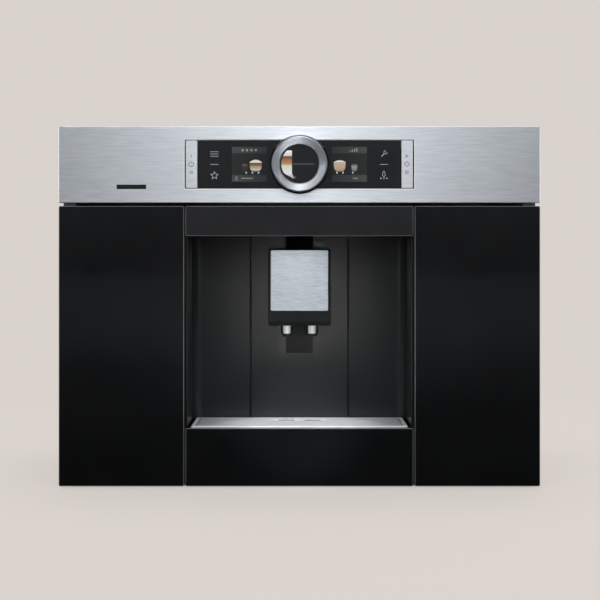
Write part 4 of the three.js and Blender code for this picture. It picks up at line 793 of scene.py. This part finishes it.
WINDOW_SIDE, WINDOW_LOW, WINDOW_HIGH = 142.5, 368.2, 430.2
WINDOW_CORNER = 2.1
DIAL_GAP = 20.8                  # the straight edges end at the round clearance of the dial
steel_skin = [(-0.068, 0.012), (-0.888, 0.832), (-0.832, 0.888), (-0.012, 0.068)]   # on a 0.9 mm bevel
across, down, up = WINDOW_SIDE - WINDOW_CORNER, WINDOW_LOW + WINDOW_CORNER, WINDOW_HIGH - WINDOW_CORNER
left_edge = np.concatenate([[(-DIAL_GAP, WINDOW_HIGH)], arc(-across, up, WINDOW_CORNER, 90, 180, 6),
                            arc(-across, down, WINDOW_CORNER, 180, 270, 6), [(-DIAL_GAP, WINDOW_LOW)]])
right_edge = np.concatenate([[(DIAL_GAP, WINDOW_LOW)], arc(across, down, WINDOW_CORNER, -90, 0, 6),
                             arc(across, up, WINDOW_CORNER, 0, 90, 6), [(DIAL_GAP, WINDOW_HIGH)]])
piece("window_edges", [(carried(np.insert(edge, 1, FRONT_Y, axis=1), steel_skin, (0, 1, 0), False), *OPEN)
                       for edge in (left_edge, right_edge)], ground_steel_highlight, "carcass")

# %% [markdown]
# ## In the niche
# Each chrome nozzle sits in a black sleeve that is open at the front and ends in a soft round
# lip, so that no drop runs back. A matt black strip lies on each joint between the niche's
# mouldings: a dark joint, which also paints the shade in the gap. In the pressed field of the
# drip plate the lands beside the drain slots and the plate's two end strips are near-white steel:
# painted highlights, where the steel shows bright reflections. A black grommet edges each slot
# and paints the shade that falls into it. The grommet's section is an L: a wall in the slot and a
# lip over the edge of the sheet.

# %% Nozzle sleeves, joint strips, and lands with painted highlights
NOZZLE_X, NOZZLE_Y = 16.2, -105.0
LIP_Z, SLEEVE_LOW, SLEEVE_HIGH = 183.9, 186.6, 197.7
SLEEVE_RADIUS, SLEEVE_HALF = 6.15, 0.45      # the middle of its wall and half the wall's thickness
lip = [(4.4, 0.2), (5.0, -0.35), (5.9, 0.1), (6.5, 1.2), (6.55, 2.9), (5.7, 3.1), (4.9, 2.6)]
wall = [(-SLEEVE_HALF, 0), (SLEEVE_HALF, 0), (SLEEVE_HALF, SLEEVE_HIGH - SLEEVE_LOW),
        (-SLEEVE_HALF, SLEEVE_HIGH - SLEEVE_LOW)]
sleeves = []
for x in (-NOZZLE_X, NOZZLE_X):
    around_back = np.insert(arc(x, NOZZLE_Y, SLEEVE_RADIUS, -30, 210, 28), 2, SLEEVE_LOW, axis=1)
    sleeves.append((carried(around_back, wall, (0, 0, 1), False), *OPEN))
    sleeves.append((turned(lip, (x, NOZZLE_Y, LIP_Z), (0, 0, 1), 48), *RING))
piece("nozzle_sleeves", sleeves, black_plastic, "outlet")

# Painted shade: dark strips on the joints, which also stand in for the shade in the gaps between the
# mouldings.
JOINT_X, JOINT_LOW, JOINT_HIGH, JOINT_WIDTH = 63.9, 77.5, 312.8, 1.7
WALL_Y = -70.56
joint_shade = [dash(x, JOINT_LOW, x, JOINT_HIGH, JOINT_WIDTH, WALL_Y) for x in (-JOINT_X, JOINT_X)]
piece("niche_joint_shade_strips", joint_shade, matt_black, "carcass")

# Painted highlight: near-white, hardly metallic steel on the lands and end strips stands in for their bright
# reflections.
painted_highlight_steel = finish("steel_land_painted_highlight", (0xF4F6F8, 0xFBFCFD), (0.2, 0.3), 5, shader={"Metallic": 0.1})
FIELD_Z, RIM_Z, SHEET = 75.3, 75.78, 0.7     # the pressed field, the rim round it, the sheet's thickness
LAND_HALF, SLOT_HALF = 5.2, 3.0              # half their widths, in mm along Y
LAND_RISE, STRIP_RISE = 0.46, 0.05
STRIP_FRONT, STRIP_BACK = -175.5, -76.5
lands = [(lying(rounded(x0, x1, NOZZLE_Y - LAND_HALF, NOZZLE_Y + LAND_HALF, 1.5), FIELD_Z, LAND_RISE), *OPEN)
         for x0, x1 in ((-5.6, 5.6), (27.6, 34.7), (-34.7, -27.6))]
lands += [(lying(rounded(x0, x1, STRIP_FRONT, STRIP_BACK, 1.2), RIM_Z, STRIP_RISE), *OPEN)
          for x0, x1 in ((129.2, 133.2), (-133.2, -129.2))]
piece("drain_lands", lands, painted_highlight_steel, "drip_grille")
# Painted shade: a black grommet edges each drain slot and stands in for the shade that falls into it.
SIDE_GAP, FACE_GAP = 0.01, 0.02              # between the grommet and the sheet
SHADE_RIM_WALL, SHADE_RIM_LIP, SHADE_RIM_TOP = 0.4, 0.7, 0.35
shade_rim_section = [(SIDE_GAP, 0), (SHADE_RIM_WALL, 0), (SHADE_RIM_WALL, SHEET + SHADE_RIM_TOP),
          (-SHADE_RIM_LIP, SHEET + SHADE_RIM_TOP), (-SHADE_RIM_LIP, SHEET + FACE_GAP), (SIDE_GAP, SHEET + FACE_GAP)]
slots = [np.insert(rounded(x0, x1, NOZZLE_Y - SLOT_HALF, NOZZLE_Y + SLOT_HALF, 2.9), 2,
                   FIELD_Z - SHEET, axis=1) for x0, x1 in ((6.6, 26.6), (-26.6, -6.6))]
piece("drain_slot_shade_rims", [(carried(slot, shade_rim_section, (0, 0, 1)), *RING) for slot in slots], black_plastic,
      "drip_grille")

# %% [markdown]
# ## Behind the doors
# A strip of dark foam on the lip round each bay keeps coffee dust in and stops the doors from
# rattling. The water tank and the milk container carry a printed scale, a line for every
# centimetre and a longer one for every fifth. Their marks stand on the clear front wall.

# %% Door foam and level scales
foam = finish("closed_cell_foam", (0x2E3133, 0x3B3E40), (0.85, 0.95), 0.8, relief=0.06, shader={"IOR": 1.5})
FOAM_Y, FOAM_LOW, FOAM_HIGH, FOAM_CORNER = -166.9, 8.5, 341.5, 7.5
foam_section = [(-1.0, 0), (1.0, 0), (0.75, -0.42), (-0.75, -0.42)]
for side, x0, x1 in (("left", -269.5, -148.5), ("right", 148.5, 269.5)):
    bay_lip = np.insert(rounded(x0, x1, FOAM_LOW, FOAM_HIGH, FOAM_CORNER), 1, FOAM_Y, axis=1)
    piece(f"door_foam_{side}", [(carried(bay_lip, foam_section, (0, 1, 0)), *RING)], foam, "carcass")

scale_print = finish("white_level_print", (0xC9CED2, 0xDDE1E4), (0.4, 0.5), 0.5, shader={"IOR": 1.5})
CONTAINER_FRONT = -145.56
TICK_PITCH, TICK_WIDTH, SHORT_TICK, LONG_TICK = 10, 0.8, 5, 9
for name, start, low, count in (("water", 172.0, 30.0, 20), ("milk", -246.0, 25.0, 6)):
    ticks = []
    for i in range(count):
        z, length = low + TICK_PITCH * i, SHORT_TICK if i % 5 else LONG_TICK
        ticks.append(dash(start, z, start + length, z, TICK_WIDTH, CONTAINER_FRONT))
    piece(f"level_scale_{name}", ticks, scale_print, "carcass")

# %% [markdown]
# ## Screws and the air filter
# The sheets of the carcass are held by pan-head screws with a cross recess. In polar form the
# recess has its edge at r = min(L, w / sin a), where a is the angle to the nearest arm, L half
# its length and w half its width. Behind the vents of the rear panel lies a mat of black foam
# that catches dust, so nobody can look into the machine.

# %% Carcass screws and filter mat
def pan_screw(centre, axis, head=3.3, tall=1.7, steps=64):
    """One closed grid: up the turned head, over its flat top, down the recess to its floor."""
    turn = np.linspace(0, 2 * math.pi, steps, endpoint=False)
    nearest = (turn + math.pi / 4) % (math.pi / 2) - math.pi / 4
    arm_length, arm_width = 0.52 * head, 0.12 * head
    recess = np.minimum(arm_length, arm_width / np.maximum(np.abs(np.sin(nearest)), 1e-3))
    flat = np.ones(steps)
    radius = np.stack([0 * flat, head * flat, 1.03 * head * flat, 0.72 * head * flat,
                       recess, 0.9 * recess, 0 * flat], axis=1)[..., None]
    along = np.array([0, 0, 0.25, 1, 1, 0.45, 0.45])[None, :, None] * tall
    return spun(centre, axis, radius, along, steps)


SIDE_X, TOP_Z = 279.0, 438.0     # the outer faces of the side sheets and of the top sheet
screws = [pan_screw((side * SIDE_X, y, z), (side, 0, 0)) for side in (-1, 1)
          for y, z in ((183, 30), (183, 150), (183, 270), (183, 400), (-150, 30), (-150, 400))]
screws += [pan_screw((x, y, TOP_Z), (0, 0, 1)) for y in (-150, 180) for x in (-262, 0, 262)]
piece("carcass_screws", [(screw, True, False) for screw in screws], galvanised, "carcass")

filter_foam = finish("open_cell_filter_foam", (0x0B0B0C, 0x1E1F20), (0.9, 1.0), 1.2, relief=0.3)
MAT_SIDE, MAT_LOW, MAT_HIGH, MAT_Y, MAT_THICKNESS = 192, 292, 350, 190.3, 0.8
mat = plate(rounded(-MAT_SIDE, MAT_SIDE, MAT_LOW, MAT_HIGH, 4), MAT_Y, MAT_THICKNESS)
piece("rear_filter_mat", [(mat, *OPEN)], filter_foam, "carcass")

# %% [markdown]
# ## Floor
# The machine is shown standing on a plain pale floor that runs back to the horizon. The floor
# gives off part of its colour for the rays that see it, so it matches the backdrop, and the rest
# is lit, so the shadow stays. In front of the machine a mirror ray finds the dark room instead.

# %% Lay the floor
REACH = 30.0                     # half the floor's width, in metres
FRONT_FADE = (0.0, -0.2)         # mirror rays see it turn dark between these places along Y
FAR_FADE = (-0.3, -5.0)          # and turn from dark to grey between these
SHADOW_FADE = (0.3, 1.4)         # between these distances it goes from mostly to wholly glowing
MOSTLY = 0.7
floor_mesh = bpy.data.meshes.new("floor")
floor_mesh.from_pydata([(-REACH, -REACH, 0), (REACH, -REACH, 0), (REACH, REACH, 0), (-REACH, REACH, 0)],
                       [], [(0, 1, 2, 3)])
floor = bpy.data.objects.new("floor", floor_mesh)
bpy.context.scene.collection.objects.link(floor)
floor_paper = bpy.data.materials.new("studio_paper")
floor_paper.use_nodes = True
tree = floor_paper.node_tree
tree.nodes.clear()
rays, seen = eye_rays(tree)
position = add(tree, "ShaderNodeTexCoord")["Object"]
place = add(tree, "ShaderNodeSeparateXYZ", {}, {0: position})
before = ranged(tree, place["Y"], *FRONT_FADE, kind="SMOOTHSTEP")
mirrored = calc(tree, "MULTIPLY", before, rays["Is Glossy Ray"])
far = ranged(tree, place["Y"], *FAR_FADE, kind="SMOOTHSTEP")
dark_floor = mix(tree, far, linear(0x101214), linear(0x707376))
shown = mix(tree, mirrored, BACKDROP, dark_floor)
distance = add(tree, "ShaderNodeVectorMath", {"operation": "LENGTH"}, {0: position})["Value"]
share = ranged(tree, distance, *SHADOW_FADE, MOSTLY, 1.0, "SMOOTHSTEP")
own_light = calc(tree, "MAXIMUM", calc(tree, "MULTIPLY", seen, share), mirrored)
matte = add(tree, "ShaderNodeBsdfDiffuse", {}, {"Color": BACKDROP})[0]
glow = add(tree, "ShaderNodeEmission", {}, {"Color": shown, "Strength": 1.0})[0]
paper = add(tree, "ShaderNodeMixShader", {}, {0: own_light, 1: matte, 2: glow})[0]
add(tree, "ShaderNodeOutputMaterial", {}, {"Surface": paper})
floor_mesh.materials.append(floor_paper)
floor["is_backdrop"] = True

# %% [markdown]
# ## Sizes and the end
# The box round the dressed machine, solids and pieces together, is printed in mm. The
# dressed machine must stay in the box of its solids.

# %% Measure and finish
low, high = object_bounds()
print("visual box in mm", [round(v / MM, 2) for v in (*low, *high)])
